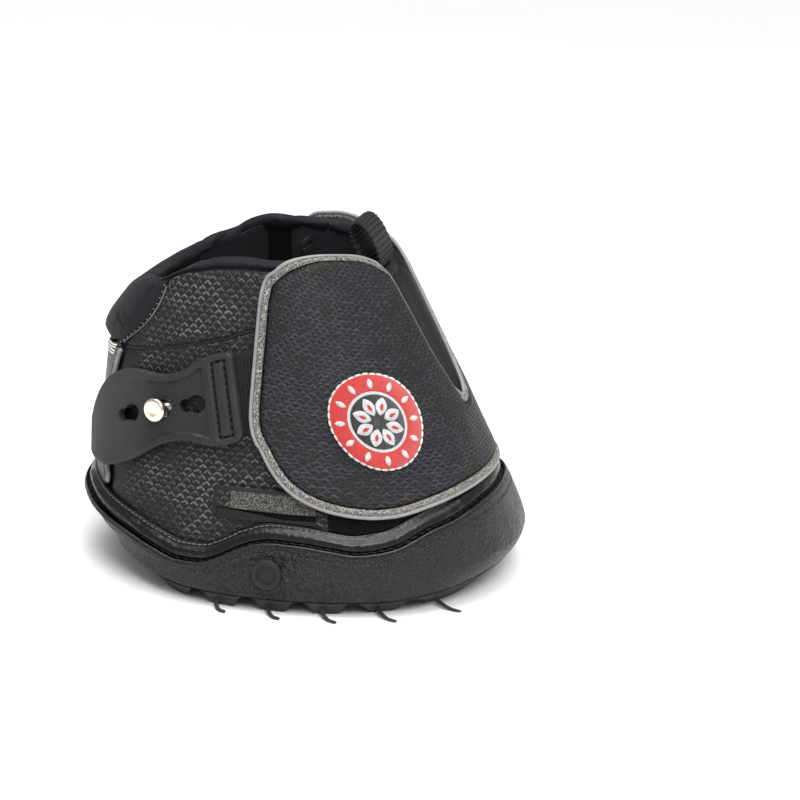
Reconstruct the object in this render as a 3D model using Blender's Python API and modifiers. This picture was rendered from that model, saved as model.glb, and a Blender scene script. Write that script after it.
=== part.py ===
"""Horse hoof boot: a moulded sole, a stitched upper, a front flap, a keyhole closure and a pull loop.

Metres, +Z up, toe towards -Y, closure side towards -X. The sole's lugs stand on z = 0.
The upper is a leaning wall: its sections are rounded ovals that shrink with height. A place on it is
given by a turn in degrees (0 at the toe, 90 on the closure side, 180 at the heel, -90 on the inner side),
a height, and an offset outwards from the outer face of the side panels.
"""
import math

import bmesh
import bpy
from mathutils import Matrix, Vector

# Driving dimensions of the leaning wall
WALL_BASE_HEIGHT = 0.0265
TOE_REACH = 0.0800
HEEL_REACH = 0.0825
WALL_HALF_WIDTH = 0.0635
WALL_MID_SHIFT = 0.0046
TOE_LEAN_SHARE = 0.543
HEEL_LEAN_SHARE = 0.071
SIDE_LEAN_SHARE = 0.240
TOE_ROUND_SHARE = 2.2
HEEL_ROUND_SHARE = 2.5
HEEL_TUCK_HEIGHT = 0.0880
HEEL_TUCK_EASE = 0.0060
HEEL_TUCK_SHARE = 0.60

# Clearances that touching pieces keep
SEAT_GAP = 0.0003
CUT_OVERRUN = 0.004

# Heights of the upper
RIM_HEIGHT = 0.1280
RIM_SHARES = (
    (0, 0.917), (14, 0.920), (28, 0.955), (42, 0.985), (60, 0.996), (95, 1.0), (103, 0.995),
    (111, 0.977), (122, 0.935), (134, 0.895), (149, 0.855), (163, 0.832), (180, 0.825),
)

# Sole, measured at its lower edge, its widest line and its upper edge
SOLE_TOP_HEIGHT = 0.0385
SOLE_TOP_SHARES = (
    (0, 1.0), (17, 0.974), (27, 0.930), (36, 0.870), (44, 0.820), (50, 0.755), (56, 0.680), (61, 0.645),
    (67, 0.625), (73, 0.655), (80, 0.690), (86, 0.700), (89, 0.685), (92, 0.610), (96, 0.500),
    (100, 0.440), (105, 0.436), (113, 0.500), (125, 0.605), (142, 0.700), (156, 0.775), (180, 0.805),
)
SOLE_EDGE_HEIGHT = 0.0110
SOLE_EDGE_SHARES = ((0, 1.0), (20, 0.97), (42, 0.72), (60, 0.56), (110, 0.54), (135, 0.60), (180, 0.66))
SOLE_FLOOR_LOW = 0.0055
SOLE_FLOOR_TOP = 0.0090
SOLE_BELLY_SHARE = 0.30
SOLE_LIP_REACH = 0.0050
SOLE_BELLY_FRONT = TOE_REACH + 0.0072
SOLE_BELLY_REAR = HEEL_REACH - 0.0090
SOLE_BELLY_HALF = WALL_HALF_WIDTH + 0.0067
SOLE_EDGE_FRONT = SOLE_BELLY_FRONT - 0.0042
SOLE_EDGE_REAR = SOLE_BELLY_REAR - 0.0095
SOLE_EDGE_HALF = SOLE_BELLY_HALF - 0.0010
SOLE_UNDER_INSET = 0.0070
SOLE_LIP_ROUND = 0.0009
SOLE_SEAT_DEPTH = 0.0060
SOLE_SEAT_CLEARANCE = 0.0008
SOLE_WELL_FRONT = TOE_REACH - 0.0060
SOLE_WELL_REAR = HEEL_REACH - 0.0225
SOLE_WELL_HALF = WALL_HALF_WIDTH - 0.0049
BOSS_RADIUS = 0.0056
BOSS_RECESS_RADIUS = 0.0037
BOSS_PROUD = 0.0009
BOSS_RECESS_DEPTH = 0.0016
BOSS_ROOT_DEPTH = 0.0030
BOSS_HEIGHT = 0.0160
BOSS_TURN = 87.0

# Tread: a blank under the sole, cut into lugs by channels
TREAD_FRONT = SOLE_EDGE_FRONT - 0.0115
TREAD_REAR = SOLE_EDGE_REAR - 0.0080
TREAD_HALF = SOLE_EDGE_HALF - 0.0030
LUG_HEIGHT = 0.0042
LUG_PITCH = 0.0185
LUG_COUNT = 5
FIRST_LUG_Y = -0.0430
CHANNEL_WIDTH_TOP = 0.0055
CHANNEL_WIDTH_LOW = 0.0110
CENTRE_CHANNEL_WIDTH = 0.0090
FIRST_WHISKER_Y = -0.0610
WHISKER_COUNT = 5
WHISKER_RADIUS = 0.0006
WHISKER_REACH = 0.0062
WHISKER_SWEEP = 0.0060
WHISKER_FLOOR = 0.0008
WHISKER_RISE = 0.0026
WHISKER_STEPS = 4
WHISKER_DROP_SHARE = 1.7

INSOLE_THICKNESS = 0.0050

# Welt band and its seam
WELT_HEIGHT = 0.0062
WELT_FOOT_THICKNESS = 0.0027
WELT_TOP_THICKNESS = 0.0012
WELT_SHOULDER_SHARE = 0.45
SEAM_THREAD_RADIUS = 0.00035

# Layers of the upper, from the hoof outwards
PANEL_THICKNESS = 0.0015
LINER_THICKNESS = 0.0030
LINER_STEP = 0.0006
GUSSET_THICKNESS = 0.0012
HOOK_THICKNESS = 0.0010
LOOP_PATCH_THICKNESS = 0.0008
LINING_THICKNESS = 0.0008
FLAP_THICKNESS = 0.0014
STRIP_THICKNESS = 0.0012
BADGE_THICKNESS = 0.0008
BADGE_STEP = 0.0005
STRAP_THICKNESS = 0.0012
COLLAR_RADIUS = 0.0028
COLLAR_CLEARANCE = 0.0007
PIPING_RADIUS = 0.0018
HEEL_PIPING_RADIUS = 0.0014
HEEL_PIPING_CLEARANCE = 0.0007
HEEL_PAD_CROWN = 0.0022

# Panel borders
VAMP_INNER_TURN = -43.0
VAMP_OUTER_TURN = 47.0
VAMP_TOP_HEIGHT = 0.0620
SEAM_HEIGHT = 0.1010
SEAM_SHARES = ((40, 1.0), (92, 0.998), (100, 0.957), (113, 0.913), (125, 0.884), (146, 0.850))
PANEL_GAP = 0.0004
SEAM_GAP = 0.0008
HEEL_STRIP_TOP = 0.0870
HEEL_BORDER_TURN = 147.0
HEEL_BORDER_BULGE_TURN = 9.0
PAD_FOOT_TURN = 145.0
PAD_SHOULDER_TURN = 124.0

# Front flap and fixed inner shield
FOLD_TURN = -66.0
FLAP_REAR_TURN = 92.0
SHIELD_REAR_TURN = -95.0
FLAP_TOP_HEIGHT = 0.1300
FLAP_BOTTOM_HEIGHT = 0.0435
FLAP_TOP_SHARES = (
    (-95.5, 0.900), (-95, 0.950), (-93, 0.980), (-89, 0.996), (-80, 1.0), (-66, 0.984), (-50, 0.964),
    (-38, 0.945), (-30, 0.920), (-24, 0.880), (-18, 0.790), (-13, 0.690), (-9, 0.615), (-5, 0.563),
    (0, 0.545), (5, 0.563), (9, 0.640), (12.4, 0.695), (14.5, 0.762), (16.0, 0.850), (18.6, 0.917),
    (22, 0.943), (29, 0.968), (40, 0.989), (57, 0.998), (66, 1.0), (74.5, 0.991), (82, 0.970),
    (88, 0.938), (91.2, 0.895), (92, 0.842),
)
FLAP_BOTTOM_SHARES = (
    (-95.5, 1.05), (-93, 0.95), (-88, 0.88), (-80, 0.85), (-66, 0.85), (-55, 0.865), (-40, 0.905),
    (-24, 0.965), (-12, 0.99), (0, 1.0), (10, 1.0), (21, 0.985), (32, 0.952), (41, 0.917), (48, 0.883),
    (54, 0.856), (60, 0.846), (67, 0.864), (73, 0.900), (79, 0.970), (84, 1.075), (88.6, 1.270),
    (91.2, 1.480), (92, 1.640),
)
FLAP_COLUMNS = (
    0, 3, 6, 8, 10, 11.7, 13.2, 14.6, 16, 17.4, 18.8, 20.2, 21.6, 23.2, 25.2, 28, 32, 37, 43, 49, 55, 61,
    67, 73, 78.5, 83, 86.5, 89.2, 91.1, 92,
)
INNER_COLUMNS = (
    -66, -60, -54, -48, -43, -38.5, -34.5, -31, -28, -25.5, -23, -20.5, -18, -15.5, -13, -10.5, -8, -5.5, -3,
)
SHIELD_COLUMNS = (-95, -93.4, -91, -88, -84, -78, -72, -66)
FOLD_GAP = 0.0006
PIPING_SEAT = 0.0005
PADDING_SEAT = 0.0018
PIPING_END_SHARE = 4.0
PIPING_REAR_STEPS = 6
INSET_STEPS = 8

# Overlay strip, hook patch and loop patch
STRIP_REAR_TURN = 98.5
STRIP_FRONT_TURN = 76.0
STRIP_TOP_HEIGHT = 0.0450
STRIP_LOW_HEIGHT = 0.0330
HOOK_REAR_TURN = 73.0
HOOK_FRONT_TURN = 22.0
HOOK_TOP_HEIGHT = 0.0680
LOOP_PATCH_INSET_TURN = 3.0
LOOP_PATCH_RISE = 0.0030

# Badge
BADGE_TURN = 53.5
BADGE_HEIGHT = 0.0715
BADGE_RADIUS = 0.0180
BADGE_RINGS = 2
BADGE_SIDES = 28

# Closure: strap, keyhole tab and stud, laid out along the tab from the stud
STUD_TURN = 115.2
STUD_HEIGHT = 0.0698
TAB_SLANT_DEGREES = -13.5
TAB_BEND_SHARE = 0.085
TAB_FRONT_LENGTH = 0.0300
TAB_REAR_LENGTH = 0.0376
TAB_HALF_WIDTH = 0.0170
TAB_THICKNESS = 0.0028
TAB_STANDOFF = 0.0004
TAB_REAR_STANDOFF = 0.0014
TAB_OUTLINE_SHARES = (
    (0.000, 0.86), (0.012, 0.93), (0.035, 0.975), (0.10, 0.99), (0.16, 0.965), (0.22, 0.87), (0.29, 0.765),
    (0.36, 0.735), (0.43, 0.760), (0.51, 0.850), (0.60, 0.960), (0.68, 1.0), (0.76, 0.985), (0.84, 0.90),
    (0.90, 0.775), (0.955, 0.59), (0.985, 0.42), (1.0, 0.30),
)
KEYHOLE_PITCH = 0.0140
KEYHOLE_COUNT = 3
KEYHOLE_STUD_INDEX = 1
KEYHOLE_WIDE_RADIUS = 0.0036
KEYHOLE_NARROW_RADIUS = 0.0027
KEYHOLE_TRAVEL = 0.0041
KEYHOLE_REST_SHARE = 0.60
BAR_CENTRE = -0.0242
BAR_HALF_LENGTH = 0.0138
BAR_HALF_WIDTH = 0.0022
STRAP_LENGTH = 0.0290
STRAP_OVERLAP = 0.0090
STRAP_HALF_WIDTH = 0.0150
STRAP_HINGE_STEP = 0.0040
STITCH_RADIUS = 0.0004
STITCH_POINTS = 24
STUD_FLANGE_RADIUS = 0.0040
STUD_FLANGE_THICKNESS = 0.0009
STUD_NECK_RADIUS = 0.0020
STUD_HEAD_RADIUS = 0.0037
STUD_HEAD_THICKNESS = 0.0022
STUD_HEAD_CLEARANCE = 0.0010
STUD_POST_RADIUS = 0.0014
POST_HOLE_CLEARANCE = 0.0003
BACKPLATE_RADIUS = 0.0060
BACKPLATE_THICKNESS = 0.0010
ROUND_SIDES = 20

# Pull loop
LOOP_WIDTH = 0.0250
LOOP_RISE = 0.0232
LOOP_GAP = 0.0075
LOOP_THICKNESS = 0.0016
LOOP_SIDES = 28
LOOP_ROOT_STEP = 0.0020

# Bartacks at the top of the heel strip
BARTACK_LENGTH = 0.0070
BARTACK_WIDTH = 0.0020
BARTACK_THICKNESS = 0.0007
BARTACK_DROP = 0.0040
BARTACK_TURNS = (156.5, 203.5)

COLLAR_COLUMNS = 60
LINER_ROWS = 3
SOLE_COLUMNS = 72

COLOURS = {
    "embossed_leather": ((0.020, 0.020, 0.022), 0.45, 0.0),
    "neoprene": ((0.012, 0.012, 0.013), 0.85, 0.0),
    "sidewall_rubber": ((0.016, 0.016, 0.017), 0.38, 0.0),
    "tread_rubber": ((0.060, 0.062, 0.066), 0.62, 0.0),
    "tab_rubber": ((0.050, 0.051, 0.053), 0.60, 0.0),
    "grey_piping": ((0.30, 0.30, 0.31), 0.55, 0.0),
    "reflective_tape": ((0.22, 0.22, 0.23), 0.50, 0.1),
    "webbing": ((0.014, 0.014, 0.015), 0.80, 0.0),
    "hook_and_loop": ((0.010, 0.010, 0.011), 0.95, 0.0),
    "stud_metal": ((0.72, 0.60, 0.52), 0.25, 1.0),
    "foam": ((0.035, 0.035, 0.038), 0.85, 0.0),
    "badge_cloth": ((0.62, 0.03, 0.04), 0.75, 0.0),
    "thread": ((0.05, 0.05, 0.05), 0.70, 0.0),
}


def smooth_share(table, place):
    """Read a hand-drawn table of (place, share) with a smooth curve that never overshoots a step."""
    if place <= table[0][0]:
        return table[0][1]
    if place >= table[-1][0]:
        return table[-1][1]
    index = 1
    while table[index][0] < place:
        index += 1
    slopes = [(b[1] - a[1]) / (b[0] - a[0]) for a, b in zip(table, table[1:])]

    def tangent(knot):
        if knot == 0:
            return slopes[0]
        if knot == len(table) - 1:
            return slopes[-1]
        before, after = slopes[knot - 1], slopes[knot]
        return 0.0 if before * after <= 0 else 2 * before * after / (before + after)

    (x0, y0), (x1, y1) = table[index - 1], table[index]
    span = x1 - x0
    t = (place - x0) / span
    rest = 1 - t
    return (y0 * rest * rest * (1 + 2 * t) + y1 * t * t * (3 - 2 * t)
            + tangent(index - 1) * span * t * rest * rest - tangent(index) * span * t * t * rest)


def between(low, high, share):
    """The value a share of the way from low to high."""
    return low + (high - low) * share


def folded_turn(turn):
    """A turn's distance from the toe, 0 to 180 degrees, alike on both sides."""
    turn = abs(turn) % 360
    return 360 - turn if turn > 180 else turn


def oval(turn, front, rear, half, mid):
    """A point on a rounded oval whose toe and heel halves have their own reach and roundness."""
    angle = math.radians(turn)
    cosine, sine = math.cos(angle), math.sin(angle)
    power = 2 / (TOE_ROUND_SHARE if cosine > 0 else HEEL_ROUND_SHARE)
    reach = front + mid if cosine > 0 else rear - mid
    x = -math.copysign(abs(sine) ** power, sine) * half
    y = mid - math.copysign(abs(cosine) ** power, cosine) * reach
    return x, y


def wall(turn, height, offset=0.0):
    """A point on the leaning wall of the upper."""
    rise = height - WALL_BASE_HEIGHT
    front = TOE_REACH - TOE_LEAN_SHARE * rise + offset
    rear = HEEL_REACH - HEEL_LEAN_SHARE * rise + offset
    half = WALL_HALF_WIDTH - SIDE_LEAN_SHARE * rise + offset
    x, y = oval(turn, front, rear, half, WALL_MID_SHIFT)
    over = max(height - HEEL_TUCK_HEIGHT, 0.0)
    heelward = max(-math.cos(math.radians(turn)), 0.0)
    y -= HEEL_TUCK_SHARE * over * over / (over + HEEL_TUCK_EASE) * heelward ** 3
    return Vector((x, y, height))


def outward(turn, height):
    """The wall's outward normal, from two short steps along it."""
    along = wall(turn + 1, height) - wall(turn - 1, height)
    up = wall(turn, height + CUT_OVERRUN) - wall(turn, height - CUT_OVERRUN)
    return up.cross(along).normalized()


def walk(turn, height, across, up):
    """Turn and height after going a length across, towards the closure side's heel, and up the wall."""
    slope = (wall(turn, height + CUT_OVERRUN) - wall(turn, height)).length / CUT_OVERRUN
    end_height = height + up / slope
    steps = 12
    for _ in range(steps):
        per_degree = (wall(turn + 0.5, end_height) - wall(turn - 0.5, end_height)).length
        turn += across / steps / per_degree
    return turn, end_height


def rim_height(turn):
    return RIM_HEIGHT * smooth_share(RIM_SHARES, folded_turn(turn))


def sole_top(turn):
    return SOLE_TOP_HEIGHT * smooth_share(SOLE_TOP_SHARES, folded_turn(turn))


def sole_edge(turn):
    return SOLE_EDGE_HEIGHT * smooth_share(SOLE_EDGE_SHARES, folded_turn(turn))


def welt_top(turn):
    return sole_top(turn) + SEAT_GAP + WELT_HEIGHT


def panel_foot(turn):
    return sole_top(turn) - SOLE_SEAT_DEPTH


def seam_height(turn):
    return SEAM_HEIGHT * smooth_share(SEAM_SHARES, folded_turn(turn))


def flap_top(turn):
    return FLAP_TOP_HEIGHT * smooth_share(FLAP_TOP_SHARES, turn)


def flap_bottom(turn):
    return FLAP_BOTTOM_HEIGHT * smooth_share(FLAP_BOTTOM_SHARES, turn)


# Layer offsets, each built on the one inside it
PANEL_INNER = -PANEL_THICKNESS
LINER_OUTER = PANEL_INNER - LINER_STEP
LINER_INNER = LINER_OUTER - LINER_THICKNESS
HOOK_INNER = SEAT_GAP
LOOP_PATCH_INNER = HOOK_INNER + HOOK_THICKNESS + SEAT_GAP
LINING_INNER = LOOP_PATCH_INNER + LOOP_PATCH_THICKNESS + SEAT_GAP
FLAP_INNER = LINING_INNER + LINING_THICKNESS + SEAT_GAP
FLAP_OUTER = FLAP_INNER + FLAP_THICKNESS
PIPING_OFFSET = FLAP_OUTER - PIPING_RADIUS + SEAT_GAP + SEAT_GAP
TAB_INNER = SEAT_GAP + STRAP_THICKNESS + TAB_STANDOFF
TAB_OUTER = TAB_INNER + TAB_THICKNESS
COLLAR_OFFSET = -COLLAR_RADIUS - SEAT_GAP

materials = {}
parts = None
cutters = None


def clear_scene():
    for old in list(bpy.data.objects):
        bpy.data.objects.remove(old, do_unlink=True)


def make_collections():
    global parts, cutters
    parts = bpy.data.collections.new("horse_hoof_boot")
    cutters = bpy.data.collections.new("cutters")
    bpy.context.scene.collection.children.link(parts)
    bpy.context.scene.collection.children.link(cutters)


def material(name):
    """The Principled material of that name, made once."""
    if name not in materials:
        colour, roughness, metallic = COLOURS[name]
        made = bpy.data.materials.new(name)
        made.use_nodes = True
        shader = made.node_tree.nodes["Principled BSDF"]
        shader.inputs["Base Color"].default_value = (*colour, 1.0)
        shader.inputs["Roughness"].default_value = roughness
        shader.inputs["Metallic"].default_value = metallic
        materials[name] = made
    return materials[name]


def add_object(name, data, finish, collection=None):
    """Link an object and give it its material."""
    made = bpy.data.objects.new(name, data)
    (collection or parts).objects.link(made)
    if finish:
        data.materials.append(material(finish))
    return made


def mesh_from(bm, name):
    """Close a bmesh into a mesh with smooth faces and sharp edges kept."""
    data = bpy.data.meshes.new(name)
    bm.to_mesh(data)
    bm.free()
    data.shade_smooth()
    data.set_sharp_from_angle(angle=math.radians(40))
    return data


def panel(name, columns, rows, place, inner, thickness, finish, cyclic=False):
    """A piece of sheet on the wall: a grid laid by place(u, v) -> (turn, height), given its thickness."""
    bm = bmesh.new()
    bmesh.ops.create_grid(bm, x_segments=columns, y_segments=rows, size=1.0)
    for vertex in bm.verts:
        u = (1 - vertex.co.x) / 2
        v = (1 + vertex.co.y) / 2
        turn, height = place(u, v)
        step = inner(u, v) if callable(inner) else inner
        vertex.co = wall(turn, height, step)
    if cyclic:
        bmesh.ops.remove_doubles(bm, verts=bm.verts, dist=SEAT_GAP / 10)
    made = add_object(name, mesh_from(bm, name), finish)
    solid = made.modifiers.new("thickness", "SOLIDIFY")
    solid.thickness = thickness
    solid.offset = 1.0
    solid.use_even_offset = False
    return made


def padded_panel(name, columns, rows, place, inner, thickness, finish):
    """A crowned pad on the wall: its thickness is a function of its place, and it is closed all round."""
    bm = bmesh.new()
    layers = []
    for outer in (False, True):
        grid = []
        for i in range(columns + 1):
            u = i / columns
            line = []
            for j in range(rows + 1):
                v = j / rows
                turn, height = place(u, v)
                offset = inner + (thickness(u, v) if outer else 0.0)
                line.append(bm.verts.new(wall(turn, height, offset)))
            grid.append(line)
        layers.append(grid)
        for i in range(columns):
            for j in range(rows):
                bm.faces.new((grid[i][j], grid[i + 1][j], grid[i + 1][j + 1], grid[i][j + 1]))
    border = [(i, 0) for i in range(columns)] + [(columns, j) for j in range(rows)]
    border += [(i, rows) for i in range(columns, 0, -1)] + [(0, j) for j in range(rows, 0, -1)]
    low, high = layers
    for here, there in zip(border, border[1:] + border[:1]):
        bm.faces.new((low[here[0]][here[1]], low[there[0]][there[1]],
                      high[there[0]][there[1]], high[here[0]][here[1]]))
    bmesh.ops.recalc_face_normals(bm, faces=bm.faces)
    return add_object(name, mesh_from(bm, name), finish)


def grid_steps(turns):
    """Read a list of column turns at a share of its length."""
    last = len(turns) - 1

    def turn_at(share):
        where = share * last
        index = min(int(where), last - 1)
        return between(turns[index], turns[index + 1], where - index)
    return turn_at


def tube(name, points, radius, finish, closed=False, resolution=1):
    """A bevelled curve through a list of points, with filled ends."""
    curve = bpy.data.curves.new(name, "CURVE")
    curve.dimensions = "3D"
    curve.bevel_depth = radius
    curve.bevel_resolution = resolution
    curve.use_fill_caps = True
    spline = curve.splines.new("POLY")
    spline.points.add(len(points) - 1)
    for item, point in zip(spline.points, points):
        item.co = (*point, 1.0)
    spline.use_cyclic_u = closed
    return add_object(name, curve, finish)


def loft(name, rings, finish, closed_profile=False, collection=None):
    """Join rings of points, first to last, with end caps or a last strip that closes the profile."""
    bm = bmesh.new()
    rows = [[bm.verts.new(point) for point in ring] for ring in rings]
    count = len(rows[0])
    pairs = list(zip(rows, rows[1:]))
    if closed_profile:
        pairs.append((rows[-1], rows[0]))
    else:
        bm.faces.new(rows[0])
        bm.faces.new(rows[-1])
    for low, high in pairs:
        for i in range(count):
            j = (i + 1) % count
            bm.faces.new((low[i], low[j], high[j], high[i]))
    bmesh.ops.recalc_face_normals(bm, faces=bm.faces)
    return add_object(name, mesh_from(bm, name), finish, collection)


def oval_ring(front, rear, half, height, count=SOLE_COLUMNS):
    """A ring of points on an oval; height is a number or a function of the turn."""
    ring = []
    for i in range(count):
        turn = 360 * i / count - 180
        z = height(turn) if callable(height) else height
        x, y = oval(turn, front, rear, half, WALL_MID_SHIFT)
        ring.append(Vector((x, y, z)))
    return ring


def wall_ring(offset, height, count=SOLE_COLUMNS):
    """A ring of points on the wall at a height that is a function of the turn."""
    return [wall(360 * i / count - 180, height(360 * i / count - 180), offset) for i in range(count)]


def cylinder(name, centre, axis, radius, length, finish=None, sides=ROUND_SIDES, top_radius=None):
    """A round bar or cone from a primitive, centred on a point, along an axis."""
    bm = bmesh.new()
    bmesh.ops.create_cone(bm, cap_ends=True, segments=sides, radius1=radius,
                          radius2=radius if top_radius is None else top_radius, depth=length)
    turn = axis.to_track_quat("Z", "Y").to_matrix().to_4x4()
    bm.transform(Matrix.Translation(centre) @ turn)
    return add_object(name, mesh_from(bm, name), finish, parts if finish else cutters)


def boolean(target, other, operation):
    """Cut, join or intersect with an object, and keep that object among the cutters."""
    step = target.modifiers.new(operation.lower(), "BOOLEAN")
    step.operation = operation
    step.solver = "EXACT"
    step.object = other
    if other.name in parts.objects:
        parts.objects.unlink(other)
        cutters.objects.link(other)
    other.hide_render = True
    other.display_type = "WIRE"
    return target


def hang_on(pivot_name, point, children):
    """Parent pieces to an empty on their joint's axis, with their places kept."""
    pivot = bpy.data.objects.new(pivot_name, None)
    pivot.location = point
    parts.objects.link(pivot)
    for child in children:
        child.data.transform(Matrix.Translation(-point))
        child.parent = pivot
    return pivot


def strip_place(front, rear, bottom, top):
    """A place function for a panel between two turns, with a lower and an upper edge line."""
    def place(u, v):
        turn = between(front, rear, u)
        return turn, between(bottom(turn), top(turn), v)
    return place


def heel_border(height):
    """The turn of the heel strip's border at a height: it draws in towards the middle."""
    share = (height - SOLE_TOP_HEIGHT) / (HEEL_STRIP_TOP - SOLE_TOP_HEIGHT)
    share = min(max(share, 0.0), 1.0)
    return HEEL_BORDER_TURN + HEEL_BORDER_BULGE_TURN * math.sin(math.pi * share) ** 0.7


def degrees_of(length, turn, height):
    """How many degrees of turn a length along the wall takes."""
    return length / (wall(turn + 0.5, height) - wall(turn - 0.5, height)).length


def pad_border(height):
    """The turn where the side panels end and the heel pad starts, above the heel strip."""
    low, high = HEEL_STRIP_TOP, rim_height(PAD_SHOULDER_TURN)
    share = min(max((height - low) / (high - low), 0.0), 1.0)
    return between(PAD_FOOT_TURN, PAD_SHOULDER_TURN, 1 - (1 - share) ** 2.2)


def rear_border(height):
    """The rear edge of the side panels, clear of the heel piping and the heel pad."""
    if height > HEEL_STRIP_TOP:
        return pad_border(height)
    border = heel_border(height)
    return border - degrees_of(HEEL_PIPING_RADIUS + HEEL_PIPING_CLEARANCE, border, height)


def make_sole():
    """Moulded rubber cup with a wavy top edge, a ledge for the upper and a ring boss on each side."""
    def belly(turn):
        return between(sole_edge(turn), sole_top(turn), SOLE_BELLY_SHARE)

    def seat(turn):
        return panel_foot(turn) - SOLE_SEAT_CLEARANCE

    rings = [
        oval_ring(SOLE_EDGE_FRONT - SOLE_UNDER_INSET, SOLE_EDGE_REAR - SOLE_UNDER_INSET,
                  SOLE_EDGE_HALF - SOLE_UNDER_INSET, SOLE_FLOOR_LOW),
        oval_ring(SOLE_EDGE_FRONT, SOLE_EDGE_REAR, SOLE_EDGE_HALF, sole_edge),
        oval_ring(SOLE_BELLY_FRONT, SOLE_BELLY_REAR, SOLE_BELLY_HALF, belly),
        wall_ring(SOLE_LIP_REACH, lambda turn: sole_top(turn) - SOLE_LIP_ROUND),
        wall_ring(SOLE_LIP_REACH - SOLE_LIP_ROUND, sole_top),
        wall_ring(PANEL_GAP, sole_top),
        wall_ring(PANEL_GAP, seat),
        wall_ring(LINER_INNER - PANEL_GAP, seat),
        oval_ring(SOLE_WELL_FRONT, SOLE_WELL_REAR, SOLE_WELL_HALF, SOLE_FLOOR_TOP),
    ]
    sole = loft("sole_cup", rings, "sidewall_rubber")
    for side in (1, -1):
        x, y = oval(side * BOSS_TURN, SOLE_BELLY_FRONT, SOLE_BELLY_REAR, SOLE_BELLY_HALF, WALL_MID_SHIFT)
        face = Vector((x, y, BOSS_HEIGHT))
        axis = Vector((-side, 0, 0))
        length = BOSS_PROUD + BOSS_ROOT_DEPTH
        centre = face + axis * (BOSS_PROUD - length / 2)
        ring = cylinder(f"boss_ring_{side}", centre, axis, BOSS_RADIUS, length)
        recess_length = BOSS_RECESS_DEPTH + CUT_OVERRUN
        recess_centre = face + axis * (BOSS_PROUD - BOSS_RECESS_DEPTH + recess_length / 2)
        recess = cylinder(f"boss_recess_{side}", recess_centre, axis, BOSS_RECESS_RADIUS, recess_length)
        boolean(sole, ring, "UNION")
        boolean(sole, recess, "DIFFERENCE")
    return sole


def make_tread():
    """Tread under the cup: a solid toe with a breakover bevel, and paired lugs left by channels."""
    def under_edge(turn):
        return sole_edge(turn) - SEAT_GAP

    rings = [
        oval_ring(SOLE_EDGE_FRONT - SOLE_UNDER_INSET, SOLE_EDGE_REAR - SOLE_UNDER_INSET,
                  SOLE_EDGE_HALF - SOLE_UNDER_INSET, SOLE_FLOOR_LOW - SEAT_GAP),
        oval_ring(SOLE_EDGE_FRONT - SEAT_GAP, SOLE_EDGE_REAR - SEAT_GAP,
                  SOLE_EDGE_HALF - SEAT_GAP, under_edge),
        oval_ring(TREAD_FRONT, TREAD_REAR, TREAD_HALF, 0.0),
    ]
    tread = loft("tread", rings, "tread_rubber")
    for index in range(LUG_COUNT + 1):
        y = FIRST_LUG_Y + (index - 0.5) * LUG_PITCH
        boolean(tread, channel(f"cross_channel_{index}", y), "DIFFERENCE")
    last_y = FIRST_LUG_Y + (LUG_COUNT - 0.5) * LUG_PITCH
    boolean(tread, centre_channel(FIRST_LUG_Y - LUG_PITCH / 2, last_y), "DIFFERENCE")
    return tread


def trapezoid_bar(name, low, high, length, depth):
    """A bar along X, centred on the origin, whose section has its own width at the foot and at the top."""
    bm = bmesh.new()
    bmesh.ops.create_cube(bm, size=1.0)
    for vertex in bm.verts:
        width = low if vertex.co.z < 0 else high
        vertex.co = Vector((vertex.co.x * length, vertex.co.y * width, vertex.co.z * depth))
    return add_object(name, mesh_from(bm, name), None, cutters)


def channel(name, y):
    """A cutter for the gap between two rows of lugs, wider at the ground."""
    spread = (CHANNEL_WIDTH_LOW - CHANNEL_WIDTH_TOP) * CUT_OVERRUN / LUG_HEIGHT
    depth = LUG_HEIGHT + CUT_OVERRUN
    bar = trapezoid_bar(name, CHANNEL_WIDTH_LOW + spread, CHANNEL_WIDTH_TOP, SOLE_BELLY_HALF * 3, depth)
    bar.location = (0.0, y, LUG_HEIGHT - depth / 2)
    return bar


def centre_channel(front_y, rear_y):
    """A cutter for the gap along the middle of the tread."""
    depth = LUG_HEIGHT + CUT_OVERRUN
    width = CENTRE_CHANNEL_WIDTH
    bar = trapezoid_bar("centre_channel", width, width, rear_y - front_y, depth)
    bar.rotation_euler = (0.0, 0.0, math.radians(90))
    bar.location = (0.0, (front_y + rear_y) / 2, LUG_HEIGHT - depth / 2)
    return bar


def lug_side(y, height):
    """Where the outer face of a lug lies at a place along the boot, half the width from the middle."""
    share = height / sole_edge(BOSS_TURN)
    half = between(TREAD_HALF, SOLE_EDGE_HALF, share)
    front = between(TREAD_FRONT, SOLE_EDGE_FRONT, share)
    rear = between(TREAD_REAR, SOLE_EDGE_REAR, share)
    ahead = y < WALL_MID_SHIFT
    reach = front + WALL_MID_SHIFT if ahead else rear - WALL_MID_SHIFT
    power = TOE_ROUND_SHARE if ahead else HEEL_ROUND_SHARE
    return half * (1 - (abs(y - WALL_MID_SHIFT) / reach) ** power) ** (1 / power)


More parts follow.
